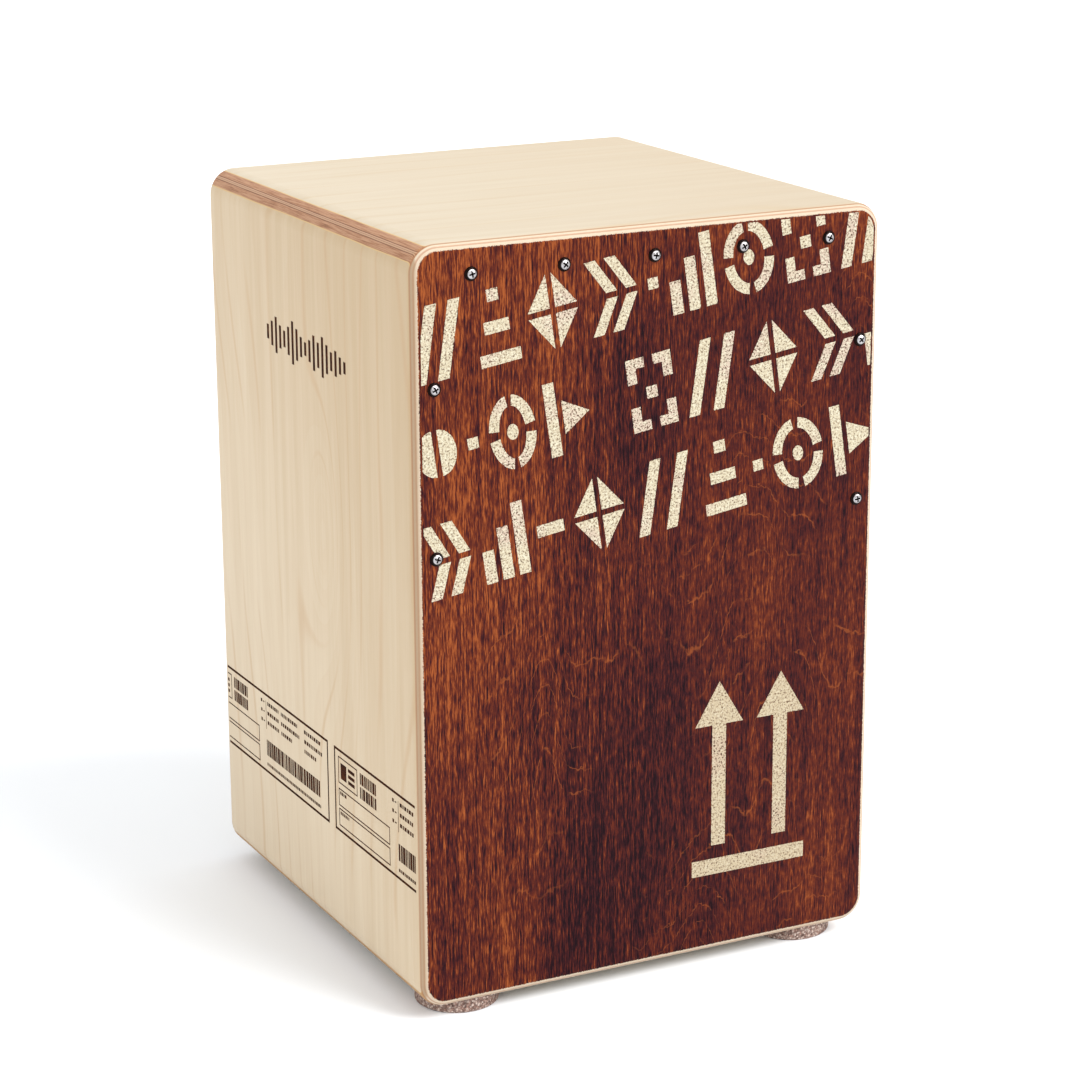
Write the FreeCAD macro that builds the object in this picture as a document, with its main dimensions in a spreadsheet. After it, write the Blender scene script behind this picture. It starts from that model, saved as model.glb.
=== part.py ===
"""A snare cajon: a plywood box drum that the player sits on, with a lift-out snare unit inside.

The row frame has +Z up, +X to the right of someone facing the playing panel, and +Y towards the back. Its
origin is on the floor, under the middle of the box. Lengths are in millimetres.

The box is four mitred plywood panels with a playing panel over the front edges and a back panel over the
rear edges. Battens stiffen both ends of the box. The playing panel is screwed to the front battens in its
upper part and glued below. Two slotted holders carry the snare bar, which lifts up and out of them.
"""

import FreeCAD, Part
import Sketcher
import math
import os

VECTOR = FreeCAD.Vector
X_AXIS, Y_AXIS, Z_AXIS = VECTOR(1, 0, 0), VECTOR(0, 1, 0), VECTOR(0, 0, 1)

# The driving dimensions, in millimetres and degrees: alias, value, what it is.
SIZES = [
    ("box_width", 300, "outside width of the box, along X"),
    ("box_depth", 300, "outside depth of the box with both end panels, along Y"),
    ("box_height", 446, "outside height of the box without its feet"),
    ("panel_thick", 9, "plywood of the seat, the base and the two sides"),
    ("playing_thick", 3, "plywood of the playing panel"),
    ("back_thick", 4, "plywood of the back panel"),
    ("corner_round", 16, "radius of the four long edges of the box"),
    ("front_round", 6, "radius around the front of the box"),
    ("back_round", 5, "radius around the back of the box"),
    ("front_batten_depth", 18, "front battens, measured back from the playing panel"),
    ("front_rail_height", 18, "front top and bottom battens, measured along Z"),
    ("front_stile_width", 8, "front side battens, measured along X"),
    ("back_batten", 12, "side of the square battens behind the back panel's edge"),
    ("sound_hole_radius", 60, "round sound hole in the back panel"),
    ("sound_hole_height", 300, "centre of the sound hole above the floor"),
    ("sound_hole_round", 1, "rounding of the sound hole's edges"),
    ("panel_screw_radius", 1.75, "shank of the playing panel's screws"),
    ("panel_screw_length", 18, "shank and tip of those screws"),
    ("panel_head_radius", 4, "their pan heads"),
    ("panel_head_height", 2.3, "their pan heads"),
    ("top_screw_pitch", 57, "distance between the five screws of the top row"),
    ("side_screw_high", 80, "upper side screws below the top of the box"),
    ("side_screw_low", 176, "lower side screws below the top of the box"),
    ("foot_radius", 25, "round foot of pressed rubber and cork"),
    ("foot_height", 9, "thickness of a foot"),
    ("foot_round", 1.5, "rounding of a foot's lower edge"),
    ("foot_inset_x", 36, "front foot centre in from the side of the box"),
    ("back_foot_inset_x", 51, "back foot centre in from the side of the box"),
    ("foot_inset_y", 30, "foot centre in from the front or the back of the box"),
    ("recess_radius", 8, "recess for the screw head under a foot"),
    ("recess_depth", 4.5, "recess for the screw head under a foot"),
    ("foot_screw_radius", 2, "shank of a foot screw"),
    ("foot_screw_length", 13, "shank and tip of a foot screw"),
    ("foot_head_radius", 4, "pan head of a foot screw"),
    ("foot_head_height", 2.4, "pan head of a foot screw"),
    ("washer_radius", 7, "washer above a foot screw's head"),
    ("washer_thick", 1, "washer above a foot screw's head"),
    ("coil_radius", 1.3, "outside of one snare coil"),
    ("coil_wire", 0.4, "thickness of the wire that a coil is wound from"),
    ("coil_length", 120, "length of one snare coil"),
    ("coil_pitch", 3.7, "distance between neighbouring coils"),
    ("coil_count", 20, "coils in each of the two snare strips"),
    ("strip_offset", 59, "middle of a snare strip from the middle of the box"),
    ("coil_gap", 0.3, "air between a coil and the playing panel"),
    ("end_plate_length", 90, "brass plate that the coils are soldered to, along X"),
    ("end_plate_height", 11, "the same plate, along Z"),
    ("end_plate_thick", 0.8, "the same plate, along Y"),
    ("plate_screw_offset", 41.5, "plate screws from the middle of a plate"),
    ("plate_screw_radius", 1.25, "shank of a plate screw"),
    ("plate_screw_length", 12, "shank and tip of a plate screw"),
    ("plate_head_radius", 2.5, "pan head of a plate screw"),
    ("plate_head_height", 1.4, "pan head of a plate screw"),
    ("bar_height_centre", 276, "middle of the snare bar above the floor"),
    ("bar_height", 24, "snare bar, along Z"),
    ("bar_thick", 16, "snare bar, along Y"),
    ("bar_end_gap", 1, "air between the bar's shoulder and a holder"),
    ("bar_round", 2, "rounding of the bar's long edges"),
    ("tenon_height", 16, "tongue at each end of the bar, along Z"),
    ("tenon_thick", 8, "tongue at each end of the bar, along Y"),
    ("tenon_reach", 10, "how far a tongue goes into its holder"),
    ("felt_thick", 1.3, "felt that lines a holder's slot"),
    ("felt_gap", 0.2, "air between felt and tongue, front and back"),
    ("holder_thick", 12, "snare holder, along X"),
    ("holder_depth", 28, "snare holder, along Y"),
    ("holder_below", 26, "wood under a holder's slot"),
    ("holder_above", 8, "wall of a holder above the tongue"),
    ("holder_wall", 5.2, "wall between the slot and the holder's front face"),
    ("holder_round", 3, "rounding of a holder's upright edges"),
    ("holder_screw_radius", 1.5, "shank of a holder screw"),
    ("holder_screw_length", 19, "shank and tip of a holder screw"),
    ("holder_head_radius", 3, "pan head of a holder screw"),
    ("holder_head_height", 1.8, "pan head of a holder screw"),
    ("holder_screw_pitch", 13, "distance between a holder's two screws"),
]

doc = FreeCAD.newDocument("Cajon")
sheet = doc.addObject("Spreadsheet::Sheet", "sizes")
for line, (alias, value, meaning) in enumerate(SIZES, start=1):
    sheet.set(f"A{line}", meaning)
    sheet.set(f"B{line}", str(value))
    sheet.setAlias(f"B{line}", alias)
doc.recompute()

# Planes that several sub-parts share, as expressions in the sheet's cells.
BOX_BOTTOM = "sizes.foot_height"
BOX_TOP = "(sizes.foot_height + sizes.box_height)"
SEAT_UNDERSIDE = f"({BOX_TOP} - sizes.panel_thick)"
BASE_TOPSIDE = f"({BOX_BOTTOM} + sizes.panel_thick)"
INNER_HALF_WIDTH = "(sizes.box_width / 2 - sizes.panel_thick)"
BOX_FRONT = "(-sizes.box_depth / 2)"
CAVITY_FRONT = f"({BOX_FRONT} + sizes.playing_thick)"
CAVITY_BACK = "(sizes.box_depth / 2 - sizes.back_thick)"
COIL_MIDDLE_Y = f"({CAVITY_FRONT} + sizes.coil_gap + sizes.coil_radius)"
PLATE_FRONT_Y = f"({COIL_MIDDLE_Y} + sizes.coil_radius)"
BAR_FRONT_Y = f"({PLATE_FRONT_Y} + sizes.end_plate_thick)"
BAR_MIDDLE_Y = f"({BAR_FRONT_Y} + sizes.bar_thick / 2)"
HOLDER_OUTER_X = f"({INNER_HALF_WIDTH} - sizes.front_stile_width)"
HOLDER_INNER_X = f"({HOLDER_OUTER_X} - sizes.holder_thick)"
SLOT_FLOOR_Z = "(sizes.bar_height_centre - sizes.tenon_height / 2 - sizes.felt_thick)"
HOLDER_BOTTOM_Z = f"({SLOT_FLOOR_Z} - sizes.holder_below)"
SLOT_WIDTH = "(sizes.tenon_thick + 2 * sizes.felt_thick + 2 * sizes.felt_gap)"
SLOT_FRONT_Y = f"({BAR_MIDDLE_Y} - {SLOT_WIDTH} / 2)"
HOLDER_FRONT_Y = f"({SLOT_FRONT_Y} - sizes.holder_wall)"
HOLDER_HEIGHT = "(sizes.holder_below + sizes.felt_thick + sizes.tenon_height + sizes.holder_above)"
PLATE_MIDDLE_Z = "(sizes.bar_height_centre)"
COIL_BOTTOM_Z = "(sizes.bar_height_centre - sizes.end_plate_height / 2)"

sub_parts = []


def sub_part(shape_object, label):
    """Name a finished sub-part and put it on the list that is exported."""
    shape_object.Label = label
    sub_parts.append(shape_object)
    return shape_object


def bind(target, **expressions):
    """Tie properties of an object to expressions; a double underscore in a name stands for a dot."""
    for name, expression in expressions.items():
        target.setExpression(name.replace("__", "."), expression)
    return target


def put(target, x="0", y="0", z="0", axis=Z_AXIS, angle=0):
    """Turn an object about an axis through its own origin and bind its place to expressions."""
    target.Placement = FreeCAD.Placement(VECTOR(0, 0, 0), FreeCAD.Rotation(axis, angle))
    return bind(target, Placement__Base__x=x, Placement__Base__y=y, Placement__Base__z=z)


def primitive(kind, name, **expressions):
    """A Part primitive whose sizes are bound to expressions."""
    return bind(doc.addObject(f"Part::{kind}", name), **expressions)


def common(name, base, tool):
    """The volume that two objects share."""
    result = doc.addObject("Part::Common", name)
    result.Base, result.Tool = base, tool
    return result


def cut(name, base, tool):
    """An object less another one, checked for taking something away."""
    result = doc.addObject("Part::Cut", name)
    result.Base, result.Tool = base, tool
    doc.recompute()
    if result.Shape.Volume > base.Shape.Volume - 1e-3:
        raise RuntimeError(f"{name}: the cut takes nothing away")
    return result


def copies(name, source, places):
    """One object made of links to a source, each at its own bound place: x, y, z, axis, angle."""
    links = []
    for number, (x, y, z, axis, angle) in enumerate(places, start=1):
        link = doc.addObject("App::Link", f"{name}_{number}")
        link.LinkedObject = source
        links.append(put(link, x, y, z, axis, angle))
    group = doc.addObject("Part::Compound", name)
    group.Links = links
    return group


# ---------------------------------------------------------------- sketches and PartDesign features


def new_body(name):
    """An empty PartDesign body."""
    return doc.addObject("PartDesign::Body", name)


def new_sketch(body, name, plane):
    """A sketch on one of its body's origin planes."""
    sketch = body.newObject("Sketcher::SketchObject", name)
    support = [f for f in body.Origin.OriginFeatures if f.Role == plane][0]
    sketch.AttachmentSupport = (support, [""])
    sketch.MapMode = "FlatFace"
    return sketch


def rectangle(sketch, width, height):
    """A rectangle centred on the sketch's origin, with its width and height bound."""
    corners = [VECTOR(-4, -3, 0), VECTOR(4, -3, 0), VECTOR(4, 3, 0), VECTOR(-4, 3, 0)]
    first = len(sketch.Geometry)
    for number in range(4):
        sketch.addGeometry(Part.LineSegment(corners[number], corners[(number + 1) % 4]), False)
    for number in range(4):
        following = first + (number + 1) % 4
        sketch.addConstraint(Sketcher.Constraint("Coincident", first + number, 2, following, 1))
        direction = "Horizontal" if number % 2 == 0 else "Vertical"
        sketch.addConstraint(Sketcher.Constraint(direction, first + number))
    sketch.addConstraint(Sketcher.Constraint("Symmetric", first, 1, first + 2, 1, -1, 1))
    for line, size in ((first, width), (first + 1, height)):
        place = sketch.addConstraint(Sketcher.Constraint("Distance", line, 7))
        name = f"size_{place}"
        sketch.renameConstraint(place, name)
        sketch.setExpression(f"Constraints.{name}", size)


def circle(sketch, radius, offset=None, side=1):
    """A circle with its radius bound, at the origin or at a bound distance along the sketch's X axis."""
    number = sketch.addGeometry(Part.Circle(VECTOR(side * 5, 0, 0), Z_AXIS, 1), False)
    if offset is None:
        sketch.addConstraint(Sketcher.Constraint("Coincident", number, 3, -1, 1))
    else:
        sketch.addConstraint(Sketcher.Constraint("PointOnObject", number, 3, -1))
        ends = (-1, 1, number, 3) if side > 0 else (number, 3, -1, 1)
        place = sketch.addConstraint(Sketcher.Constraint("DistanceX", *ends, 5))
        sketch.renameConstraint(place, f"offset_{place}")
        sketch.setExpression(f"Constraints.offset_{place}", offset)
    place = sketch.addConstraint(Sketcher.Constraint("Radius", number, 1))
    sketch.renameConstraint(place, f"radius_{place}")
    sketch.setExpression(f"Constraints.radius_{place}", radius)


def pad(body, sketch, name, length, both_ways=False):
    """Grow a sketch along its normal, or half to each side of it."""
    feature = body.newObject("PartDesign::Pad", name)
    feature.Profile = sketch
    feature.Midplane = both_ways
    bind(feature, Length=length)
    doc.recompute()
    return feature


def pocket(body, sketch, name, depth, reverse):
    """Cut a sketch out of its body, checked for removing material."""
    before = body.Shape.Volume
    feature = body.newObject("PartDesign::Pocket", name)
    feature.Profile = sketch
    feature.Reversed = reverse
    bind(feature, Length=depth)
    doc.recompute()
    if body.Shape.Volume > before - 1e-3:
        raise RuntimeError(f"{name}: the pocket takes nothing away")
    return feature


def round_edges(body, name, radius, chosen):
    """Fillet the edges of a body's tip for which the test holds."""
    tip = body.Tip
    edges = [f"Edge{i}" for i, edge in enumerate(tip.Shape.Edges, start=1) if chosen(edge)]
    if not edges:
        raise RuntimeError(f"{name}: no edge to round")
    feature = body.newObject("PartDesign::Fillet", name)
    feature.Base = (tip, edges)
    bind(feature, Radius=radius)
    doc.recompute()
    return feature


def runs_along(edge, axis):
    """Whether an edge is straight and parallel to an axis."""
    if edge.Curve.TypeId != "Part::GeomLine":
        return False
    return abs(abs(edge.tangentAt(edge.FirstParameter).dot(axis)) - 1) < 1e-6


def lies_at(edge, axis, value):
    """Whether an edge lies in the plane at a value along an axis."""
    ends = (edge.valueAt(edge.FirstParameter), edge.valueAt(edge.LastParameter))
    return all(abs(point.dot(axis) - value) < 1e-4 for point in ends)


# ---------------------------------------------------------------- fasteners


def pan_head_screw(name, shank_radius, shank_length, head_radius, head_height):
    """A cross-recess pan head screw along Z: the head stands on the plane z = 0 and the tip points down."""
    dome_radius = f"(({head_radius})^2 + ({head_height})^2) / (2 * {head_height}) * 1.12"
    dome = primitive("Sphere", f"{name}_dome", Radius=dome_radius)
    put(dome, z=f"{head_height} - {dome_radius}")
    blank = primitive("Cylinder", f"{name}_blank", Radius=head_radius, Height=head_height)
    head = common(f"{name}_head", blank, dome)
    tip_length = f"(1.6 * {shank_radius})"
    shank_height = f"{shank_length} - {tip_length}"
    shank = primitive("Cylinder", f"{name}_shank", Radius=shank_radius, Height=shank_height)
    put(shank, z=f"{tip_length} - {shank_length}")
    tip = primitive("Cone", f"{name}_tip", Radius1="0.15", Radius2=shank_radius, Height=tip_length)
    put(tip, z=f"-{shank_length}")
    solid = doc.addObject("Part::MultiFuse", f"{name}_solid")
    solid.Shapes = [head, shank, tip]
    slots = []
    for turn in (0, 90):
        slot = primitive(
            "Box",
            f"{name}_slot_{turn}",
            Length=f"0.95 * {head_radius}",
            Width=f"0.24 * {head_radius}",
            Height=f"{head_height}",
        )
        slots.append(slot)
    put(slots[0], f"-0.475 * {head_radius}", f"-0.12 * {head_radius}", f"0.3 * {head_height}")
    put(slots[1], f"0.12 * {head_radius}", f"-0.475 * {head_radius}", f"0.3 * {head_height}", Z_AXIS, 90)
    cross = doc.addObject("Part::MultiFuse", f"{name}_cross")
    cross.Shapes = slots
    return cut(name, solid, cross)


panel_screw = pan_head_screw(
    "panel_screw",
    "sizes.panel_screw_radius",
    "sizes.panel_screw_length",
    "sizes.panel_head_radius",
    "sizes.panel_head_height",
)
foot_screw = pan_head_screw(
    "foot_screw",
    "sizes.foot_screw_radius",
    "sizes.foot_screw_length",
    "sizes.foot_head_radius",
    "sizes.foot_head_height",
)
plate_screw = pan_head_screw(
    "plate_screw",
    "sizes.plate_screw_radius",
    "sizes.plate_screw_length",
    "sizes.plate_head_radius",
    "sizes.plate_head_height",
)
holder_screw = pan_head_screw(
    "holder_screw",
    "sizes.holder_screw_radius",
    "sizes.holder_screw_length",
    "sizes.holder_head_radius",
    "sizes.holder_head_height",
)



def head_to_front(recess_turn):
    """The axis and angle that point a screw's head to the front, with its cross recess turned in degrees."""
    rotation = FreeCAD.Rotation(X_AXIS, 90) * FreeCAD.Rotation(Z_AXIS, recess_turn)
    return rotation.Axis, math.degrees(rotation.Angle)


# The playing panel's screws point back: five along the top batten, two down each side batten.
top_row_z = f"{SEAT_UNDERSIDE} - sizes.front_rail_height / 2"
top_row = [
    (f"{step} * sizes.top_screw_pitch", BOX_FRONT, top_row_z, *head_to_front(recess_turn))
    for step, recess_turn in ((-2, 12), (-1, 51), (0, 80), (1, 30), (2, 64))
]
side_screw_x = f"({INNER_HALF_WIDTH} - sizes.front_stile_width / 2)"
side_rows = [
    (f"{side} * {side_screw_x}", BOX_FRONT, f"{BOX_TOP} - sizes.{drop}", *head_to_front(recess_turn))
    for side, drop, recess_turn in (
        (-1, "side_screw_high", 25),
        (-1, "side_screw_low", 70),
        (1, "side_screw_high", 40),
        (1, "side_screw_low", 8),
    )
]
sub_part(copies("top_row", panel_screw, top_row), "top_row_screws")
sub_part(copies("side_rows", panel_screw, side_rows), "side_screws")
top_screws, side_screws = sub_parts[-2:]

foot_x = "(sizes.box_width / 2 - sizes.foot_inset_x)"
back_foot_x = "(sizes.box_width / 2 - sizes.back_foot_inset_x)"
foot_y = "(sizes.box_depth / 2 - sizes.foot_inset_y)"
foot_places = {
    "front_left": (f"-{foot_x}", f"-{foot_y}"),
    "front_right": (foot_x, f"-{foot_y}"),
    "back_left": (f"-{back_foot_x}", foot_y),
    "back_right": (back_foot_x, foot_y),
}
foot_screw_z = "sizes.recess_depth - sizes.washer_thick"
foot_screw_places = [(x, y, foot_screw_z, X_AXIS, 180) for x, y in foot_places.values()]
foot_screws = sub_part(copies("foot_screw_set", foot_screw, foot_screw_places), "foot_screws")

# ---------------------------------------------------------------- the box

# Everything wooden on the outside is trimmed to this rounded block.
envelope = new_body("envelope")
outline = new_sketch(envelope, "envelope_outline", "XZ_Plane")
rectangle(outline, "sizes.box_width", "sizes.box_height")
pad(envelope, outline, "envelope_block", "sizes.box_depth", both_ways=True)
round_edges(envelope, "long_edges", "sizes.corner_round", lambda e: runs_along(e, Y_AXIS))
half_depth = sheet.box_depth / 2
round_edges(envelope, "front_edge", "sizes.front_round", lambda e: lies_at(e, Y_AXIS, -half_depth))
round_edges(envelope, "back_edge", "sizes.back_round", lambda e: lies_at(e, Y_AXIS, half_depth))
put(envelope, z=f"{BOX_BOTTOM} + sizes.box_height / 2")


def mitred_panel(name, outer_length, distance, angle):
    """One of the four box panels: a plank with 45 degree ends, trimmed to the envelope.

    The plank is drawn as the top one, its mitres narrowing downwards, and turned about the box's middle line.
    """
    plank = primitive(
        "Wedge",
        f"{name}_plank",
        Xmin=f"-{outer_length} / 2 + sizes.panel_thick",
        Xmax=f"{outer_length} / 2 - sizes.panel_thick",
        X2min=f"-{outer_length} / 2",
        X2max=f"{outer_length} / 2",
        Ymin=f"{distance} - sizes.panel_thick",
        Ymax=distance,
        Zmin=f"-{CAVITY_BACK}",
        Z2min=f"-{CAVITY_BACK}",
        Zmax=f"-{CAVITY_FRONT}",
        Z2max=f"-{CAVITY_FRONT}",
    )
    upright = FreeCAD.Rotation(X_AXIS, 90)
    plank.Placement = FreeCAD.Placement(VECTOR(0, 0, 0), FreeCAD.Rotation(Y_AXIS, angle).multiply(upright))
    bind(plank, Placement__Base__z=f"{BOX_BOTTOM} + sizes.box_height / 2")
    return common(name, envelope, plank)


seat = mitred_panel("seat", "sizes.box_width", "sizes.box_height / 2", 0)
right_side = mitred_panel("right_side", "sizes.box_height", "sizes.box_width / 2", 90)
base = mitred_panel("base", "sizes.box_width", "sizes.box_height / 2", 180)
left_side = mitred_panel("left_side", "sizes.box_height", "sizes.box_width / 2", 270)
sub_part(seat, "seat_panel")
sub_part(right_side, "right_side_panel")
sub_part(left_side, "left_side_panel")
sub_part(cut("base_drilled", base, foot_screws), "base_panel")


def end_slab(name, front_y, thick):
    """A slab as wide and high as the box, for the playing panel and the back panel."""
    slab = primitive("Box", name, Length="sizes.box_width", Width=thick, Height="sizes.box_height")
    return put(slab, "-sizes.box_width / 2", front_y, BOX_BOTTOM)


playing_blank = common("playing_blank", envelope, end_slab("front_slab", BOX_FRONT, "sizes.playing_thick"))
playing_top_drilled = cut("playing_top_drilled", playing_blank, top_screws)
sub_part(cut("playing_drilled", playing_top_drilled, side_screws), "playing_panel")

back_blank = common("back_blank", envelope, end_slab("back_slab", CAVITY_BACK, "sizes.back_thick"))
sound_hole = primitive("Cylinder", "sound_hole", Radius="sizes.sound_hole_radius", Height="sizes.box_depth")
put(sound_hole, z="sizes.sound_hole_height", axis=X_AXIS, angle=-90)
back_holed = cut("back_holed", back_blank, sound_hole)
back_panel = doc.addObject("Part::Fillet", "back_rounded")
back_panel.Base = back_holed
hole_edges = [
    i
    for i, edge in enumerate(back_holed.Shape.Edges, start=1)
    if edge.Curve.TypeId == "Part::GeomCircle" and abs(edge.Curve.Radius - sheet.sound_hole_radius) < 1e-6
]
back_panel.Edges = [(i, sheet.sound_hole_round, sheet.sound_hole_round) for i in hole_edges]
sub_part(back_panel, "back_panel")

# ---------------------------------------------------------------- battens

FRONT_RAIL_SPAN = f"2 * {INNER_HALF_WIDTH}"
FRONT_STILE_SPAN = f"{SEAT_UNDERSIDE} - {BASE_TOPSIDE} - 2 * sizes.front_rail_height"
BACK_STILE_SPAN = f"{SEAT_UNDERSIDE} - {BASE_TOPSIDE} - 2 * sizes.back_batten"
BACK_BATTEN_Y = f"{CAVITY_BACK} - sizes.back_batten"


def batten(name, length, width, height, x, y, z):
    """A square-edged strip: its sizes along X, Y and Z, and its lowest corner."""
    strip = primitive("Box", name, Length=length, Width=width, Height=height)
    return put(strip, x, y, z)


def front_batten(name, length, height, x, z):
    """A strip glued behind the playing panel."""
    return batten(name, length, "sizes.front_batten_depth", height, x, CAVITY_FRONT, z)


def back_batten(name, length, height, x, z):
    """A strip glued in front of the back panel."""
    return batten(name, length, "sizes.back_batten", height, x, BACK_BATTEN_Y, z)


front_top = front_batten(
    "front_top",
    FRONT_RAIL_SPAN,
    "sizes.front_rail_height",
    f"-{INNER_HALF_WIDTH}",
    f"{SEAT_UNDERSIDE} - sizes.front_rail_height",
)
front_bottom = front_batten(
    "front_bottom", FRONT_RAIL_SPAN, "sizes.front_rail_height", f"-{INNER_HALF_WIDTH}", BASE_TOPSIDE
)
sub_part(cut("front_top_drilled", front_top, top_screws), "front_top_batten")
sub_part(front_bottom, "front_bottom_batten")

back_top = back_batten(
    "back_top",
    FRONT_RAIL_SPAN,
    "sizes.back_batten",
    f"-{INNER_HALF_WIDTH}",
    f"{SEAT_UNDERSIDE} - sizes.back_batten",
)
back_bottom = back_batten(
    "back_bottom", FRONT_RAIL_SPAN, "sizes.back_batten", f"-{INNER_HALF_WIDTH}", BASE_TOPSIDE
)
sub_part(back_top, "back_top_batten")
sub_part(back_bottom, "back_bottom_batten")

# ---------------------------------------------------------------- snare holders, their felt and their screws

HOLDER_SCREW_Z = f"({HOLDER_BOTTOM_Z} + sizes.holder_below / 2)"
HOLDER_SCREW_Y = f"({CAVITY_FRONT} + sizes.front_batten_depth / 2)"


def holder_screw_places(side, turn):
    """Where one holder's two screws go, pointing out through the side batten."""
    return [
        (
            f"{side} * {HOLDER_INNER_X}",
            HOLDER_SCREW_Y,
            f"{HOLDER_SCREW_Z} + {step} * sizes.holder_screw_pitch",
            Y_AXIS,
            turn,
        )
        for step in (-0.5, 0.5)
    ]


def slotted_holder(name, x):
    """A block with a slot that is open at the top, lengthwise along X from a bound place."""
    body = new_body(name)
    block = new_sketch(body, f"{name}_outline", "YZ_Plane")
    rectangle(block, "sizes.holder_depth", HOLDER_HEIGHT)
    pad(body, block, f"{name}_block", "sizes.holder_thick")
    round_edges(body, f"{name}_edges", "sizes.holder_round", lambda e: runs_along(e, X_AXIS))
    put(body, x, f"{HOLDER_FRONT_Y} + sizes.holder_depth / 2", f"{HOLDER_BOTTOM_Z} + {HOLDER_HEIGHT} / 2")
    slot = primitive(
        "Box", f"{name}_slot", Length="sizes.holder_thick", Width=SLOT_WIDTH, Height=HOLDER_HEIGHT
    )
    put(slot, x, SLOT_FRONT_Y, SLOT_FLOOR_Z)
    doc.recompute()
    return cut(f"{name}_slotted", body, slot)


def slot_felt(name, x):
    """A felt strip bent into a U: two cheeks and the floor that the bar's tongue stands on."""
    height = "sizes.felt_thick + sizes.tenon_height"
    outer = primitive("Box", f"{name}_strip", Length="sizes.holder_thick", Width=SLOT_WIDTH, Height=height)
    put(outer, x, SLOT_FRONT_Y, SLOT_FLOOR_Z)
    inner_width = f"{SLOT_WIDTH} - 2 * sizes.felt_thick"
    inner = primitive("Box", f"{name}_hollow", Length="sizes.holder_thick", Width=inner_width, Height=height)
    put(inner, x, f"{SLOT_FRONT_Y} + sizes.felt_thick", f"{SLOT_FLOOR_Z} + sizes.felt_thick")
    doc.recompute()
    return cut(name, outer, inner)


for side_name, side, low_x, turn in (
    ("left", -1, f"-{HOLDER_OUTER_X}", -90),
    ("right", 1, HOLDER_INNER_X, 90),
):
    # A screw is drawn pointing down, so this turn makes it point outwards through the holder.
    screws = copies(f"holder_screws_{side_name}", holder_screw, holder_screw_places(side, -turn))
    doc.recompute()
    sub_part(screws, f"snare_holder_screws_{side_name}")
    holder = slotted_holder(f"holder_{side_name}", low_x)
    sub_part(cut(f"holder_{side_name}_drilled", holder, screws), f"snare_holder_{side_name}")
    sub_part(slot_felt(f"felt_{side_name}", low_x), f"holder_felt_{side_name}")

    stile_x = f"-{INNER_HALF_WIDTH}" if side < 0 else HOLDER_OUTER_X
    stile = front_batten(
        f"front_{side_name}",
        "sizes.front_stile_width",
        FRONT_STILE_SPAN,
        stile_x,
        f"{BASE_TOPSIDE} + sizes.front_rail_height",
    )
    doc.recompute()
    stile_faced = cut(f"front_{side_name}_drilled", stile, side_screws)
    sub_part(cut(f"front_{side_name}_bored", stile_faced, screws), f"front_{side_name}_batten")

    back_x = f"-{INNER_HALF_WIDTH}" if side < 0 else f"{INNER_HALF_WIDTH} - sizes.back_batten"
    back_stile = back_batten(
        f"back_{side_name}",
        "sizes.back_batten",
        BACK_STILE_SPAN,
        back_x,
        f"{BASE_TOPSIDE} + sizes.back_batten",
    )
    sub_part(back_stile, f"back_{side_name}_batten")

# ---------------------------------------------------------------- feet and washers


def foot(name, x, y):
    """A round foot with a recess below and a hole through for its screw."""
    body = new_body(name)
    disc = new_sketch(body, f"{name}_disc", "XY_Plane")
    circle(disc, "sizes.foot_radius")
    pad(body, disc, f"{name}_pad", "sizes.foot_height")
    recess = new_sketch(body, f"{name}_recess", "XY_Plane")
    circle(recess, "sizes.recess_radius")
    pocket(body, recess, f"{name}_pocket", "sizes.recess_depth", reverse=True)
    hole = new_sketch(body, f"{name}_hole", "XY_Plane")
    circle(hole, "sizes.foot_screw_radius")
    pocket(body, hole, f"{name}_bore", "sizes.foot_height", reverse=True)
    round_edges(
        body,
        f"{name}_edge",
        "sizes.foot_round",
        lambda e: lies_at(e, Z_AXIS, 0) and abs(e.Curve.Radius - sheet.foot_radius) < 1e-6,
    )
    return put(body, x, y)


for place, (x, y) in foot_places.items():
    sub_part(foot(f"foot_{place}", x, y), f"foot_{place}")

washer = new_body("washer")
ring = new_sketch(washer, "washer_ring", "XY_Plane")
circle(ring, "sizes.washer_radius")
circle(ring, "sizes.foot_screw_radius")
pad(washer, ring, "washer_pad", "sizes.washer_thick")
washer_places = [(x, y, foot_screw_z, Z_AXIS, 0) for x, y in foot_places.values()]
sub_part(copies("washer_set", washer, washer_places), "foot_washers")

# ---------------------------------------------------------------- the snare unit

bar_length = f"2 * ({HOLDER_INNER_X} - sizes.bar_end_gap)"
snare_bar = new_body("snare_bar_body")
bar_section = new_sketch(snare_bar, "bar_section", "YZ_Plane")
rectangle(bar_section, "sizes.bar_thick", "sizes.bar_height")
pad(snare_bar, bar_section, "bar_block", bar_length, both_ways=True)
round_edges(snare_bar, "bar_edges", "sizes.bar_round", lambda e: runs_along(e, X_AXIS))
tenon_section = new_sketch(snare_bar, "tenon_section", "YZ_Plane")
rectangle(tenon_section, "sizes.tenon_thick", "sizes.tenon_height")
pad(snare_bar, tenon_section, "tenons", f"2 * ({HOLDER_INNER_X} + sizes.tenon_reach)", both_ways=True)
put(snare_bar, y=BAR_MIDDLE_Y, z="sizes.bar_height_centre")

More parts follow.
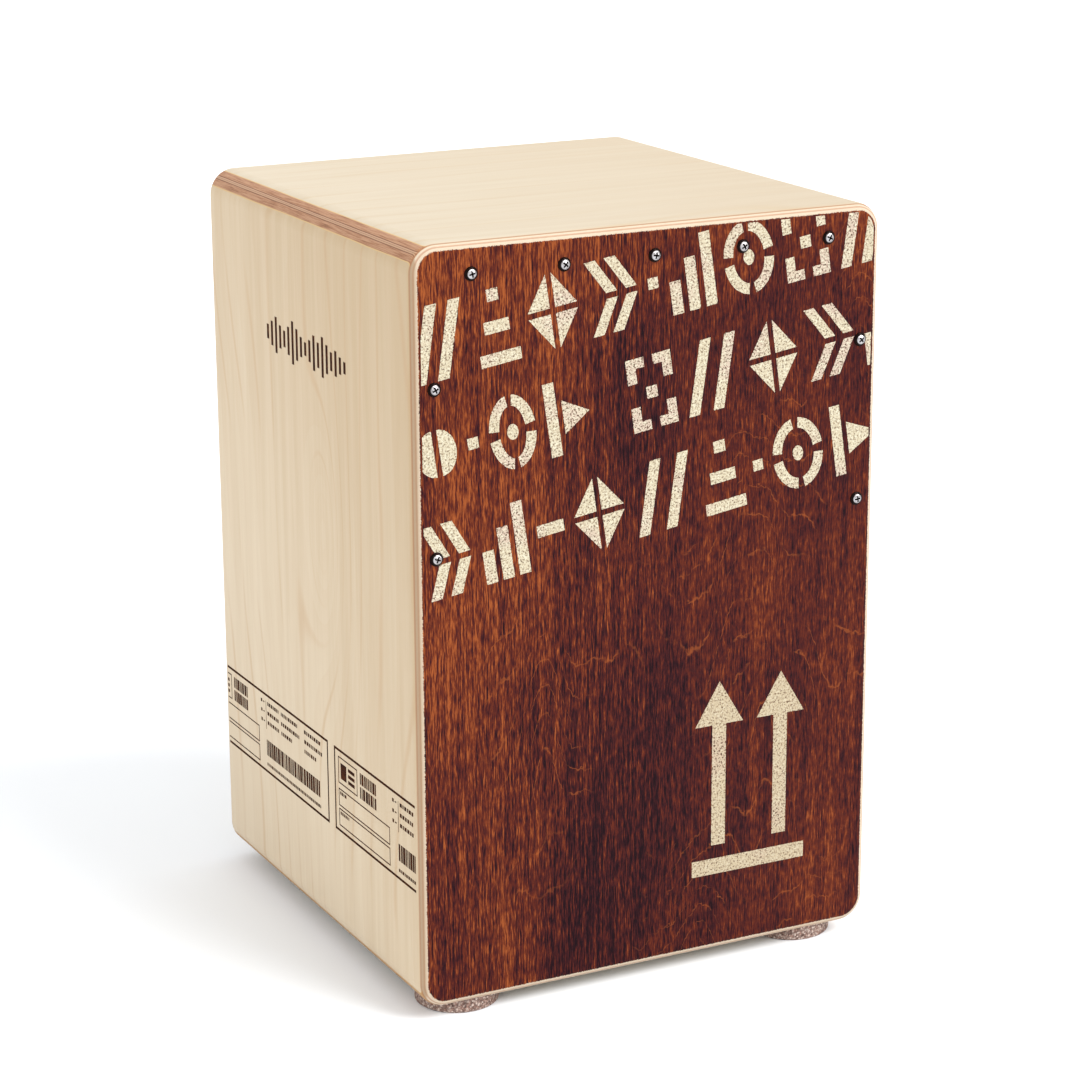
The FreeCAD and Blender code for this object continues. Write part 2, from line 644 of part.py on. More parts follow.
coil_rod = primitive("Cylinder", "coil_rod", Radius="sizes.coil_radius", Height="sizes.coil_length")
coil_core = primitive(
    "Cylinder", "coil_core", Radius="sizes.coil_radius - sizes.coil_wire", Height="sizes.coil_length"
)
doc.recompute()
coil = cut("snare_coil", coil_rod, coil_core)
bar_drilled = snare_bar
for side_name, side in (("left", -1), ("right", 1)):
    strip_x = f"{side} * sizes.strip_offset"
    middle = (sheet.coil_count - 1) / 2
    coil_places = [
        (f"{strip_x} + {number - middle} * sizes.coil_pitch", COIL_MIDDLE_Y, COIL_BOTTOM_Z, Z_AXIS, 0)
        for number in range(int(sheet.coil_count))
    ]
    sub_part(copies(f"coils_{side_name}", coil, coil_places), f"snare_coils_{side_name}")

    plate = new_body(f"plate_{side_name}")
    plate_outline = new_sketch(plate, f"plate_{side_name}_outline", "XZ_Plane")
    rectangle(plate_outline, "sizes.end_plate_length", "sizes.end_plate_height")
    for hole_side in (-1, 1):
        circle(plate_outline, "sizes.plate_screw_radius", "sizes.plate_screw_offset", hole_side)
    pad(plate, plate_outline, f"plate_{side_name}_pad", "sizes.end_plate_thick")
    put(plate, strip_x, BAR_FRONT_Y, PLATE_MIDDLE_Z)
    sub_part(plate, f"snare_end_plate_{side_name}")

    screw_places = [
        (f"{strip_x} + {end} * sizes.plate_screw_offset", PLATE_FRONT_Y, PLATE_MIDDLE_Z, X_AXIS, 90)
        for end in (-1, 1)
    ]
    plate_screws = copies(f"plate_screws_{side_name}", plate_screw, screw_places)
    doc.recompute()
    sub_part(plate_screws, f"snare_plate_screws_{side_name}")
    bar_drilled = cut(f"bar_drilled_{side_name}", bar_drilled, plate_screws)
sub_part(bar_drilled, "snare_bar")

# ---------------------------------------------------------------- checks and export

doc.recompute()
failed = [o.Name for o in doc.Objects if "Invalid" in o.State or "Error" in o.State]
if failed:
    raise RuntimeError(f"objects that did not compute: {failed}")
labels = [part.Label for part in sub_parts]
if len(set(labels)) != len(labels):
    raise RuntimeError("two sub-parts share a label")
for part in sub_parts:
    shape = part.Shape
    if shape.isNull() or not shape.isValid() or not shape.Solids:
        raise RuntimeError(f"{part.Label} has no valid solid")

os.makedirs("parts", exist_ok=True)
for part in sub_parts:
    part.Shape.exportStep(f"parts/{part.Label}.step")
    print(f"{part.Label}: {len(part.Shape.Solids)} solid(s), {part.Shape.Volume / 1000:.2f} cm3")
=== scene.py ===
"""Looks for a snare cajon: finishes, stencil marks, burnt marks and wound snares.

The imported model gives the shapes. This script dresses them, adds the marks that are painted on the playing
panel and burnt into the left side, winds real snare coils in place of the plain tubes, and sets up a plain
studio. Lengths are in metres.
"""

import logging
import math
import random
from collections.abc import Callable, Iterable, Sequence
from dataclasses import dataclass, field
from enum import Enum

import bpy
from mathutils import Matrix, Vector


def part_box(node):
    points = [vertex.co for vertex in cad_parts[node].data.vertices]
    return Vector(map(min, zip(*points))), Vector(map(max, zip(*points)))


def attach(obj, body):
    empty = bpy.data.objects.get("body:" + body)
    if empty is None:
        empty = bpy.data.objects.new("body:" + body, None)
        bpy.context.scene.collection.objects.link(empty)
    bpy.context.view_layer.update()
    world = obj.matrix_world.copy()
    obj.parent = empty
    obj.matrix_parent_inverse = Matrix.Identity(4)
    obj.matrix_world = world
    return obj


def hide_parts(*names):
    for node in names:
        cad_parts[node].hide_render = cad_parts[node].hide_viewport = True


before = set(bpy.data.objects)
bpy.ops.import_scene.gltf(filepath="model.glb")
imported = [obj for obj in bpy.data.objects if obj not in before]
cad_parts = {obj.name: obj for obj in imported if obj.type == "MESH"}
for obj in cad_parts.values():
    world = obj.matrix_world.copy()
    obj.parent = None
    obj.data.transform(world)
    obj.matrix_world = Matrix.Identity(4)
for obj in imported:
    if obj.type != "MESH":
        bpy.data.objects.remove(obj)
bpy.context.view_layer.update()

LOG = logging.getLogger("cajon")
MM = 0.001
LIGHT_LEVEL = 1.54
SENSOR_WIDTH = 36.0
CORNERS = ("front_left", "front_right", "back_left", "back_right")
ARC_STEPS = 20

Point = tuple[float, float]
Outline = list[Point]
Box = tuple[float, float, float, float]
Rgba = tuple[float, float, float, float]
Source = bpy.types.NodeSocket | float | int | Sequence[float]


def swatch(red: int, green: int, blue: int) -> Rgba:
    """Turn a colour as it should look on screen into the linear colour that shaders use.

    The studio's light is brighter than one, so every finish is that much darker.

    Args:
        red: red, 0 to 255.
        green: green, 0 to 255.
        blue: blue, 0 to 255.

    Returns:
        The linear colour with full alpha.
    """
    parts = []
    for part in (red, green, blue):
        level = part / 255
        linear = level / 12.92 if level <= 0.04045 else ((level + 0.055) / 1.055) ** 2.4
        parts.append(linear / LIGHT_LEVEL)
    return (parts[0], parts[1], parts[2], 1.0)


# ---------------------------------------------------------------- node trees


class Graph:
    """Adds and wires the nodes of one shader or geometry tree."""

    def __init__(self, tree: bpy.types.NodeTree) -> None:
        """Start on a tree."""
        self.tree = tree

    def node(self, kind: str, **settings: object) -> bpy.types.Node:
        """Add a node.

        Args:
            kind: the node type's identifier.
            settings: properties to set on it.

        Returns:
            The new node.
        """
        made = self.tree.nodes.new(kind)
        for name, value in settings.items():
            setattr(made, name, value)
        return made

    def feed(self, socket: bpy.types.NodeSocket, value: Source) -> None:
        """Link an input to a socket, or set its own value.

        Args:
            socket: the input.
            value: an output socket to link from, or a constant.
        """
        if isinstance(value, bpy.types.NodeSocket):
            self.tree.links.new(value, socket)
        else:
            socket.default_value = value

    def call(
        self, kind: str, inputs: dict[str | int, Source], **settings: object
    ) -> bpy.types.Node:
        """Add a node and feed its inputs.

        Args:
            kind: the node type's identifier.
            inputs: input name or number to value.
            settings: properties to set on it.

        Returns:
            The new node.
        """
        made = self.node(kind, **settings)
        for name, value in inputs.items():
            self.feed(made.inputs[name], value)
        return made

    def math(self, operation: str, first: Source, second: Source = 0.0) -> bpy.types.NodeSocket:
        """Apply a two-number operation."""
        return self.call("ShaderNodeMath", {0: first, 1: second}, operation=operation).outputs[0]

    def vector(self, operation: str, first: Source, second: Source) -> bpy.types.NodeSocket:
        """Apply a two-vector operation."""
        made = self.call("ShaderNodeVectorMath", {0: first, 1: second}, operation=operation)
        return made.outputs[0]

    def step(self, value: Source, low: Source, high: Source) -> bpy.types.NodeSocket:
        """Rise smoothly from 0 at one value to 1 at another.

        Args:
            value: the number that is looked at.
            low: where the result is 0.
            high: where the result is 1.

        Returns:
            The result's socket.
        """
        inputs = {"Value": value, "From Min": low, "From Max": high}
        made = self.call("ShaderNodeMapRange", inputs, interpolation_type="SMOOTHSTEP")
        return made.outputs["Result"]

    def line(self, value: Source, place: float, half_width: float) -> bpy.types.NodeSocket:
        """Mark a thin band of a value: 1 at its middle, 0 outside."""
        away = self.math("ABSOLUTE", self.math("SUBTRACT", value, place))
        return self.step(away, half_width, half_width * 0.4)

    def scaled(self, value: Source, gain: Source, base: Source) -> bpy.types.NodeSocket:
        """Multiply a number and add to it."""
        return self.math("ADD", self.math("MULTIPLY", value, gain), base)

    def swing(self, value: Source, width: Source) -> bpy.types.NodeSocket:
        """Centre a number that runs from 0 to 1 on zero."""
        return self.math("MULTIPLY", self.math("SUBTRACT", value, 0.5), width)

    def dot(self, first: Source, second: Source) -> bpy.types.NodeSocket:
        """Take two vectors' dot product."""
        made = self.call("ShaderNodeVectorMath", {0: first, 1: second}, operation="DOT_PRODUCT")
        return made.outputs["Value"]

    def blend(self, factor: Source, first: Source, second: Source) -> bpy.types.NodeSocket:
        """Mix two colours."""
        inputs = {0: factor, 6: first, 7: second}
        return self.call("ShaderNodeMix", inputs, data_type="RGBA").outputs[2]

    def tint(
        self, mask: Source, share: Source, colour: Source, added: Source
    ) -> bpy.types.NodeSocket:
        """Bring a colour in where a mask says."""
        return self.blend(self.math("MULTIPLY", mask, share), colour, added)

    def noise(
        self, place: Source, scale: Source, detail: float = 3.0, rough: float = 0.5
    ) -> bpy.types.NodeSocket:
        """Sample cloudy noise."""
        inputs = {"Vector": place, "Scale": scale, "Detail": detail, "Roughness": rough}
        return self.call("ShaderNodeTexNoise", inputs).outputs[0]

    def ramp(self, value: Source, stops: Sequence[tuple[float, Rgba]]) -> bpy.types.NodeSocket:
        """Look a number up in a row of colours.

        Args:
            value: the number, 0 to 1.
            stops: place and colour of each stop, in order.

        Returns:
            The colour's socket.
        """
        made = self.call("ShaderNodeValToRGB", {0: value})
        elements = made.color_ramp.elements
        while len(elements) < len(stops):
            elements.new(1.0)
        for element, (place, colour) in zip(elements, stops):
            element.position = place
            element.color = colour
        return made.outputs[0]

    def parts(self, place: Source) -> tuple[bpy.types.NodeSocket, ...]:
        """Split a vector into its X, Y and Z sockets."""
        return tuple(self.call("ShaderNodeSeparateXYZ", {0: place}).outputs)

    def join(self, x: Source, y: Source, z: Source) -> bpy.types.NodeSocket:
        """Make a vector from three numbers."""
        return self.call("ShaderNodeCombineXYZ", {0: x, 1: y, 2: z}).outputs[0]

    def shared(self, group: bpy.types.NodeTree, **inputs: Source) -> bpy.types.Node:
        """Place a shared group.

        Args:
            group: the group's tree.
            inputs: input name, with underscores for spaces, to value.

        Returns:
            The group node.
        """
        kind = "ShaderNodeGroup" if group.bl_idname == "ShaderNodeTree" else "GeometryNodeGroup"
        made = self.node(kind, node_tree=group)
        for name, value in inputs.items():
            self.feed(made.inputs[name.replace("_", " ")], value)
        return made


class SharedGroup:
    """A shader group that turns a place and numbers into numbers, built when first asked for."""

    def __init__(
        self,
        name: str,
        inputs: Sequence[str],
        outputs: Sequence[str],
        fill: Callable[[Graph, dict[str, bpy.types.NodeSocket]], dict[str, Source]],
    ) -> None:
        """Describe the group.

        Args:
            name: the group's name.
            inputs: names of the numbers that it takes besides the place, which is called Vector.
            outputs: names of the numbers that it gives.
            fill: makes the nodes and returns each output's source.
        """
        self.name = name
        self.inputs = inputs
        self.outputs = outputs
        self.fill = fill

    def tree(self) -> bpy.types.NodeTree:
        """Return the group's tree, and build it if this is the first time."""
        known = bpy.data.node_groups.get(self.name)
        if known is not None:
            return known
        tree = bpy.data.node_groups.new(self.name, "ShaderNodeTree")
        tree.interface.new_socket("Vector", in_out="INPUT", socket_type="NodeSocketVector")
        for name in self.inputs:
            tree.interface.new_socket(name, in_out="INPUT", socket_type="NodeSocketFloat")
        for name in self.outputs:
            tree.interface.new_socket(name, in_out="OUTPUT", socket_type="NodeSocketFloat")
        graph = Graph(tree)
        entry = graph.node("NodeGroupInput")
        leave = graph.node("NodeGroupOutput")
        sources = self.fill(graph, {socket.name: socket for socket in entry.outputs if socket.name})
        for name, source in sources.items():
            graph.feed(leave.inputs[name], source)
        return tree


def fill_wood_figure(graph: Graph, given: dict[str, bpy.types.NodeSocket]) -> dict[str, Source]:
    """Streaks, fibres and pores that run along the vector's Z.

    Args:
        graph: the group's graph.
        given: the group's inputs.

    Returns:
        The source of each output.
    """
    spread = graph.join(given["Across"], given["Across"], given["Along"])
    place = graph.vector("MULTIPLY", given["Vector"], spread)
    drift = graph.noise(graph.vector("MULTIPLY", place, (0.35, 0.35, 0.5)), 1.0, 2.0)
    bend = graph.swing(drift, given["Wave"])
    bent = graph.vector("ADD", place, graph.join(bend, bend, 0.0))
    streak = graph.noise(bent, 1.0, 4.0, 0.6)
    fibre = graph.noise(graph.vector("MULTIPLY", bent, (9.0, 9.0, 2.5)), 1.0, 2.0, 0.6)
    pore_noise = graph.noise(graph.vector("MULTIPLY", bent, (14.0, 14.0, 3.0)), 1.0, 1.0)
    return {"Streak": streak, "Fibre": fibre, "Pore": graph.step(pore_noise, 0.60, 0.72)}


def fill_growth_lines(graph: Graph, given: dict[str, bpy.types.NodeSocket]) -> dict[str, Source]:
    """Thin lines where the saw or the peeling knife crossed the tree's growth rings.

    Args:
        graph: the group's graph.
        given: the group's inputs.

    Returns:
        The source of each output.
    """
    x, y, z = graph.parts(given["Vector"])
    spread = graph.join(given["Wave Across"], given["Wave Across"], given["Wave Along"])
    wave = graph.noise(graph.vector("MULTIPLY", given["Vector"], spread), 1.0, given["Jaggedness"], 0.55)
    across = graph.math("MULTIPLY", graph.math("ADD", x, y), given["Across"])
    along = graph.math("MULTIPLY", z, given["Climb"])
    rings = graph.scaled(wave, given["Height"], graph.math("ADD", across, along))
    swollen = graph.math("ADD", rings, given["Swell"])
    away = graph.math("ABSOLUTE", graph.math("SUBTRACT", graph.math("FRACT", swollen), 0.5))
    return {"Line": graph.step(away, given["Width"], 0.0), "Zone": graph.math("FRACT", swollen)}


def fill_box_depth(graph: Graph, given: dict[str, bpy.types.NodeSocket]) -> dict[str, Source]:
    """How deep a point lies under the box's sides and under its top or bottom.

    Args:
        graph: the group's graph.
        given: the group's inputs.

    Returns:
        The source of each output.
    """
    x, _, z = graph.parts(given["Vector"])
    side = graph.math("SUBTRACT", given["Half Width"], graph.math("ABSOLUTE", x))
    height = graph.math("ABSOLUTE", graph.math("SUBTRACT", z, given["Middle Height"]))
    level = graph.math("SUBTRACT", given["Half Height"], height)
    apart = graph.math("SUBTRACT", side, level)
    return {"Depth": graph.math("MINIMUM", side, level), "Mitre": graph.line(apart, 0.0, 0.22 * MM)}


def fill_outline_inset(graph: Graph, given: dict[str, bpy.types.NodeSocket]) -> dict[str, Source]:
    """Distance in from the rounded outline of an upright panel.

    Args:
        graph: the group's graph.
        given: the group's inputs.

    Returns:
        The source of each output.
    """
    x, _, z = graph.parts(given["Vector"])
    radius = given["Corner Radius"]
    straight_x = graph.math("SUBTRACT", given["Half Width"], radius)
    straight_z = graph.math("SUBTRACT", given["Half Height"], radius)
    height = graph.math("ABSOLUTE", graph.math("SUBTRACT", z, given["Middle Height"]))
    over_x = graph.math("SUBTRACT", graph.math("ABSOLUTE", x), straight_x)
    over_z = graph.math("SUBTRACT", height, straight_z)
    clear_x = graph.math("MAXIMUM", over_x, 0.0)
    clear_z = graph.math("MAXIMUM", over_z, 0.0)
    squares = graph.scaled(clear_x, clear_x, graph.math("MULTIPLY", clear_z, clear_z))
    round_part = graph.math("SQRT", squares)
    flat_part = graph.math("MINIMUM", graph.math("MAXIMUM", over_x, over_z), 0.0)
    inset = graph.math("SUBTRACT", graph.math("SUBTRACT", radius, round_part), flat_part)
    return {"Inset": inset}


def fill_granules(graph: Graph, given: dict[str, bpy.types.NodeSocket]) -> dict[str, Source]:
    """Small grains of uneven size, each with a shade of its own, and the gaps between them.

    Args:
        graph: the group's graph.
        given: the group's inputs.

    Returns:
        The source of each output.
    """
    wobble = graph.noise(given["Vector"], graph.math("MULTIPLY", given["Per Metre"], 0.8), 2.0)
    nudge = graph.swing(wobble, graph.math("DIVIDE", 1.1, given["Per Metre"]))
    place = graph.vector("ADD", given["Vector"], graph.join(nudge, nudge, nudge))
    cells = graph.call("ShaderNodeTexVoronoi", {"Vector": place, "Scale": given["Per Metre"]})
    shade = graph.parts(cells.outputs["Color"])[0]
    return {"Shade": shade, "Gap": graph.step(cells.outputs["Distance"], 0.38, 0.62)}


def fill_handling(graph: Graph, given: dict[str, bpy.types.NodeSocket]) -> dict[str, Source]:
    """Uneven soiling from handling and fine rubbing marks.

    Args:
        graph: the group's graph.
        given: the group's inputs.

    Returns:
        The source of each output.
    """
    cloud = graph.noise(given["Vector"], given["Per Metre"], 4.0, 0.6)
    drawn = graph.vector("MULTIPLY", given["Vector"], (1.0, 1.0, 7.0))
    rubbed = graph.noise(drawn, given["Rub Per Metre"], 2.0)
    return {"Soil": graph.step(cloud, 0.42, 0.72), "Rub": graph.step(rubbed, 0.45, 0.65)}


WOOD_FIGURE = SharedGroup(
    "wood_figure",
    ("Across", "Along", "Wave"),
    ("Streak", "Fibre", "Pore"),
    fill_wood_figure,
)
GROWTH_LINES = SharedGroup(
    "growth_lines",
    ("Across", "Climb", "Wave Across", "Wave Along", "Height", "Jaggedness", "Width", "Swell"),
    ("Line", "Zone"),
    fill_growth_lines,
)
BOX_DEPTH = SharedGroup(
    "box_depth",
    ("Half Width", "Half Height", "Middle Height"),
    ("Depth", "Mitre"),
    fill_box_depth,
)
OUTLINE_INSET = SharedGroup(
    "outline_inset",
    ("Half Width", "Half Height", "Middle Height", "Corner Radius"),
    ("Inset",),
    fill_outline_inset,
)
GRANULES = SharedGroup("granules", ("Per Metre",), ("Shade", "Gap"), fill_granules)
HANDLING = SharedGroup("handling", ("Per Metre", "Rub Per Metre"), ("Soil", "Rub"), fill_handling)


class Grain(Enum):
    """Which row axis the wood's fibres follow."""

    ALONG_X = "x"
    ALONG_Y = "y"
    ALONG_Z = "z"

    def turned(self, graph: Graph, place: bpy.types.NodeSocket) -> bpy.types.NodeSocket:
        """Reorder a place so that its Z follows the fibres.

        Args:
            graph: the material's graph.
            place: the place in the row frame.

        Returns:
            The reordered vector's socket.
        """
        x, y, z = graph.parts(place)
        orders = {Grain.ALONG_X: (y, z, x), Grain.ALONG_Y: (z, x, y), Grain.ALONG_Z: (x, y, z)}
        return graph.join(*orders[self])


# ---------------------------------------------------------------- the box's measured frame


@dataclass(frozen=True)
class BoxFrame:
    """Planes and sizes of the box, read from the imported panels."""

    half_width: float
    half_height: float
    middle_height: float
    front: float
    panel_back: float
    back: float
    back_inner: float
    thick: float
    corner_radius: float = 16 * MM

    @classmethod
    def measured(cls) -> "BoxFrame":
        """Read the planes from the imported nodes."""
        playing_low, playing_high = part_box("playing_panel")
        back_low, back_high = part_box("back_panel")
        side_low, side_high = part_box("left_side_panel")
        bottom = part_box("base_panel")[0][2]
        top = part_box("seat_panel")[1][2]
        return cls(
            half_width=-side_low[0],
            half_height=(top - bottom) / 2,
            middle_height=(top + bottom) / 2,
            front=playing_low[1],
            panel_back=playing_high[1],
            back=back_high[1],
            back_inner=back_low[1],
            thick=side_high[0] - side_low[0],
        )

    def spans(self) -> dict[str, float]:
        """Return the inputs that the groups for depth and inset share."""
        return {
            "Half_Width": self.half_width,
            "Half_Height": self.half_height,
            "Middle_Height": self.middle_height,
        }


BOX = BoxFrame.measured()


# ---------------------------------------------------------------- finishes


class Surface:
    """A material under construction: its graph, its shader and its place coordinates."""

    def __init__(self, name: str, **sockets: float | Rgba) -> None:
        """Start a material and set the shader's own sockets.

        Args:
            name: the material's name.
            sockets: shader socket name, with underscores for spaces, to value.
        """
        self.material = bpy.data.materials.new(name)
        self.material.use_nodes = True
        self.graph = Graph(self.material.node_tree)
        self.shader = self.material.node_tree.nodes["Principled BSDF"]
        for socket, value in sockets.items():
            self.shader.inputs[socket.replace("_", " ")].default_value = value
        self.place = self.graph.node("ShaderNodeTexCoord").outputs["Object"]

    def finish(
        self, colour: Source, roughness: Source, height: Source, depth: float
    ) -> bpy.types.Material:
        """Wire colour, roughness and relief to the shader.

        Args:
            colour: base colour.
            roughness: roughness.
            height: relief, 0 to 1.
            depth: how deep the relief is, in metres.

        Returns:
            The finished material.
        """
        graph = self.graph
        graph.feed(self.shader.inputs["Base Color"], colour)
        graph.feed(self.shader.inputs["Roughness"], roughness)
        bump = graph.call("ShaderNodeBump", {"Height": height, "Distance": depth, "Strength": 1.0})
        graph.feed(self.shader.inputs["Normal"], bump.outputs[0])
        return self.material


@dataclass(frozen=True)
class BoxPlywood:
    """Pale veneer over brown inner plies, which show where the box's long edges are rounded."""

    name: str
    grain: Grain
    pale: Rgba
    warm: Rgba
    warm_towards: tuple[float, float, float]
    knot: tuple[float, float, float] | None = None
    knot_reach: tuple[float, float, float] = (1.0, 22 * MM, 58 * MM)
    ring: Rgba = swatch(216, 176, 130)
    brown: Rgba = swatch(180, 124, 86)
    brown_light: Rgba = swatch(214, 164, 126)
    amber: Rgba = swatch(238, 200, 140)
    dark_line: Rgba = swatch(120, 74, 50)
    light_ply: Rgba = swatch(216, 172, 136)
    gold: Rgba = swatch(206, 160, 100)
    pore: Rgba = swatch(190, 155, 118)
    veneer_depth: float = 1.2 * MM
    glue_apart: float = 0.56 * MM
    gold_from: float = 34 * MM
    gold_full: float = 24 * MM

    def build(self) -> bpy.types.Material:
        """Make the material and return it."""
        surface = Surface(self.name, Specular_IOR_Level=0.2)
        graph = surface.graph
        figure = graph.shared(
            WOOD_FIGURE.tree(),
            Vector=self.grain.turned(graph, surface.place),
            Across=110.0,
            Along=3.6,
            Wave=1.4,
        )
        veneer = self.veneer(graph, surface.place, figure)
        depth_node = graph.shared(BOX_DEPTH.tree(), Vector=surface.place, **BOX.spans())
        sway = graph.noise(graph.vector("MULTIPLY", surface.place, (30.0, 9.0, 30.0)), 1.0, 2.0)
        depth = graph.math("ADD", depth_node.outputs["Depth"], graph.swing(sway, 0.7 * MM))
        plies = self.plies(graph, surface.place, depth)
        shallow = graph.math("MINIMUM", depth, graph.math("SUBTRACT", BOX.thick, depth))
        bared = graph.step(shallow, self.veneer_depth, self.veneer_depth * 1.06)
        colour = graph.blend(bared, veneer, plies)
        mitre = graph.math("MULTIPLY", depth_node.outputs["Mitre"], graph.step(depth, 0.0, 2 * MM))
        colour = graph.tint(mitre, 0.85, colour, self.dark_line)
        _, y, _ = graph.parts(surface.place)
        front_seam = graph.step(y, BOX.panel_back + 1.2 * MM, BOX.panel_back + 0.3 * MM)
        back_seam = graph.step(y, BOX.back_inner - 0.8 * MM, BOX.back_inner - 0.2 * MM)
        seams = graph.math("MAXIMUM", front_seam, back_seam)
        colour = graph.tint(seams, 0.7, colour, self.brown)
        fibre = figure.outputs["Fibre"]
        return surface.finish(colour, graph.scaled(fibre, 0.14, 0.4), fibre, 0.06 * MM)

    def swell(self, graph: Graph, place: Source) -> Source:
        """How far the growth lines bulge round the knot.

        Args:
            graph: the material's graph.
            place: the place in the row frame.

        Returns:
            The bulge, or 0 where the veneer has no knot.
        """
        if self.knot is None:
            return 0.0
        away = graph.vector("DIVIDE", graph.vector("SUBTRACT", place, self.knot), self.knot_reach)
        return graph.math("DIVIDE", 4.2, graph.math("ADD", graph.dot(away, away), 1.0))

    def veneer(
        self, graph: Graph, place: Source, figure: bpy.types.Node
    ) -> bpy.types.NodeSocket:
        """Colour of the outer veneer.

        Args:
            graph: the material's graph.
            place: the place in the row frame.
            figure: the wood figure node.

        Returns:
            The colour's socket.
        """
        middle = graph.vector("SUBTRACT", place, (0.0, 0.0, BOX.middle_height))
        # The tone leans warmer along warm_towards; on the side panels the paler bottom this gives is painted
        # light that lifts the floor's shade.
        lean = graph.dot(middle, self.warm_towards)
        streak = graph.scaled(graph.step(figure.outputs["Streak"], 0.30, 0.74), 0.36, lean)
        tone = graph.math("ADD", streak, 0.25)
        colour = graph.blend(graph.call("ShaderNodeClamp", {0: tone}).outputs[0], self.pale, self.warm)
        lines = graph.shared(
            GROWTH_LINES.tree(),
            Vector=self.grain.turned(graph, place),
            Across=36.0,
            Climb=0.6,
            Wave_Across=5.0,
            Wave_Along=2.0,
            Height=7.0,
            Jaggedness=1.5,
            Width=0.1,
            Swell=self.swell(graph, place),
        )
        shown = graph.math("MULTIPLY", graph.step(graph.noise(place, 9.0, 1.0), 0.34, 0.58), 0.46)
        colour = graph.tint(lines.outputs["Line"], shown, colour, self.ring)
        colour = graph.tint(lines.outputs["Zone"], 0.10, colour, self.ring)
        colour = graph.tint(figure.outputs["Pore"], 0.10, colour, self.pore)
        handling = graph.shared(HANDLING.tree(), Vector=place, Per_Metre=9.0, Rub_Per_Metre=160.0)
        return graph.tint(handling.outputs["Soil"], 0.12, colour, self.warm)

    def plies(self, graph: Graph, place: Source, depth: Source) -> bpy.types.NodeSocket:
        """Colour of the inner plies at a depth.

        Args:
            graph: the material's graph.
            place: the place in the row frame.
            depth: depth below the outer face, in metres.

        Returns:
            The colour's socket.
        """
        streaks = graph.noise(graph.vector("MULTIPLY", place, (1500.0, 55.0, 1500.0)), 1.0, 3.0, 0.65)
        brown = graph.blend(graph.step(streaks, 0.35, 0.68), self.brown, self.brown_light)
        brown = graph.tint(graph.step(streaks, 0.42, 0.30), 0.6, brown, self.dark_line)
        edge = graph.line(depth, self.veneer_depth + 0.12 * MM, 0.25 * MM)
        colour = graph.blend(edge, brown, self.amber)
        middle = BOX.thick / 2
        colour = graph.blend(graph.line(depth, middle, 0.45 * MM), colour, self.light_ply)
        for glue_depth in (middle - self.glue_apart, middle + self.glue_apart):
            glue = graph.line(depth, glue_depth, 0.2 * MM)
            colour = graph.tint(glue, 0.9, colour, self.dark_line)
        _, _, z = graph.parts(place)
        low_edge = graph.step(z, self.gold_from, self.gold_full)
        return graph.tint(low_edge, 0.75, colour, self.gold)


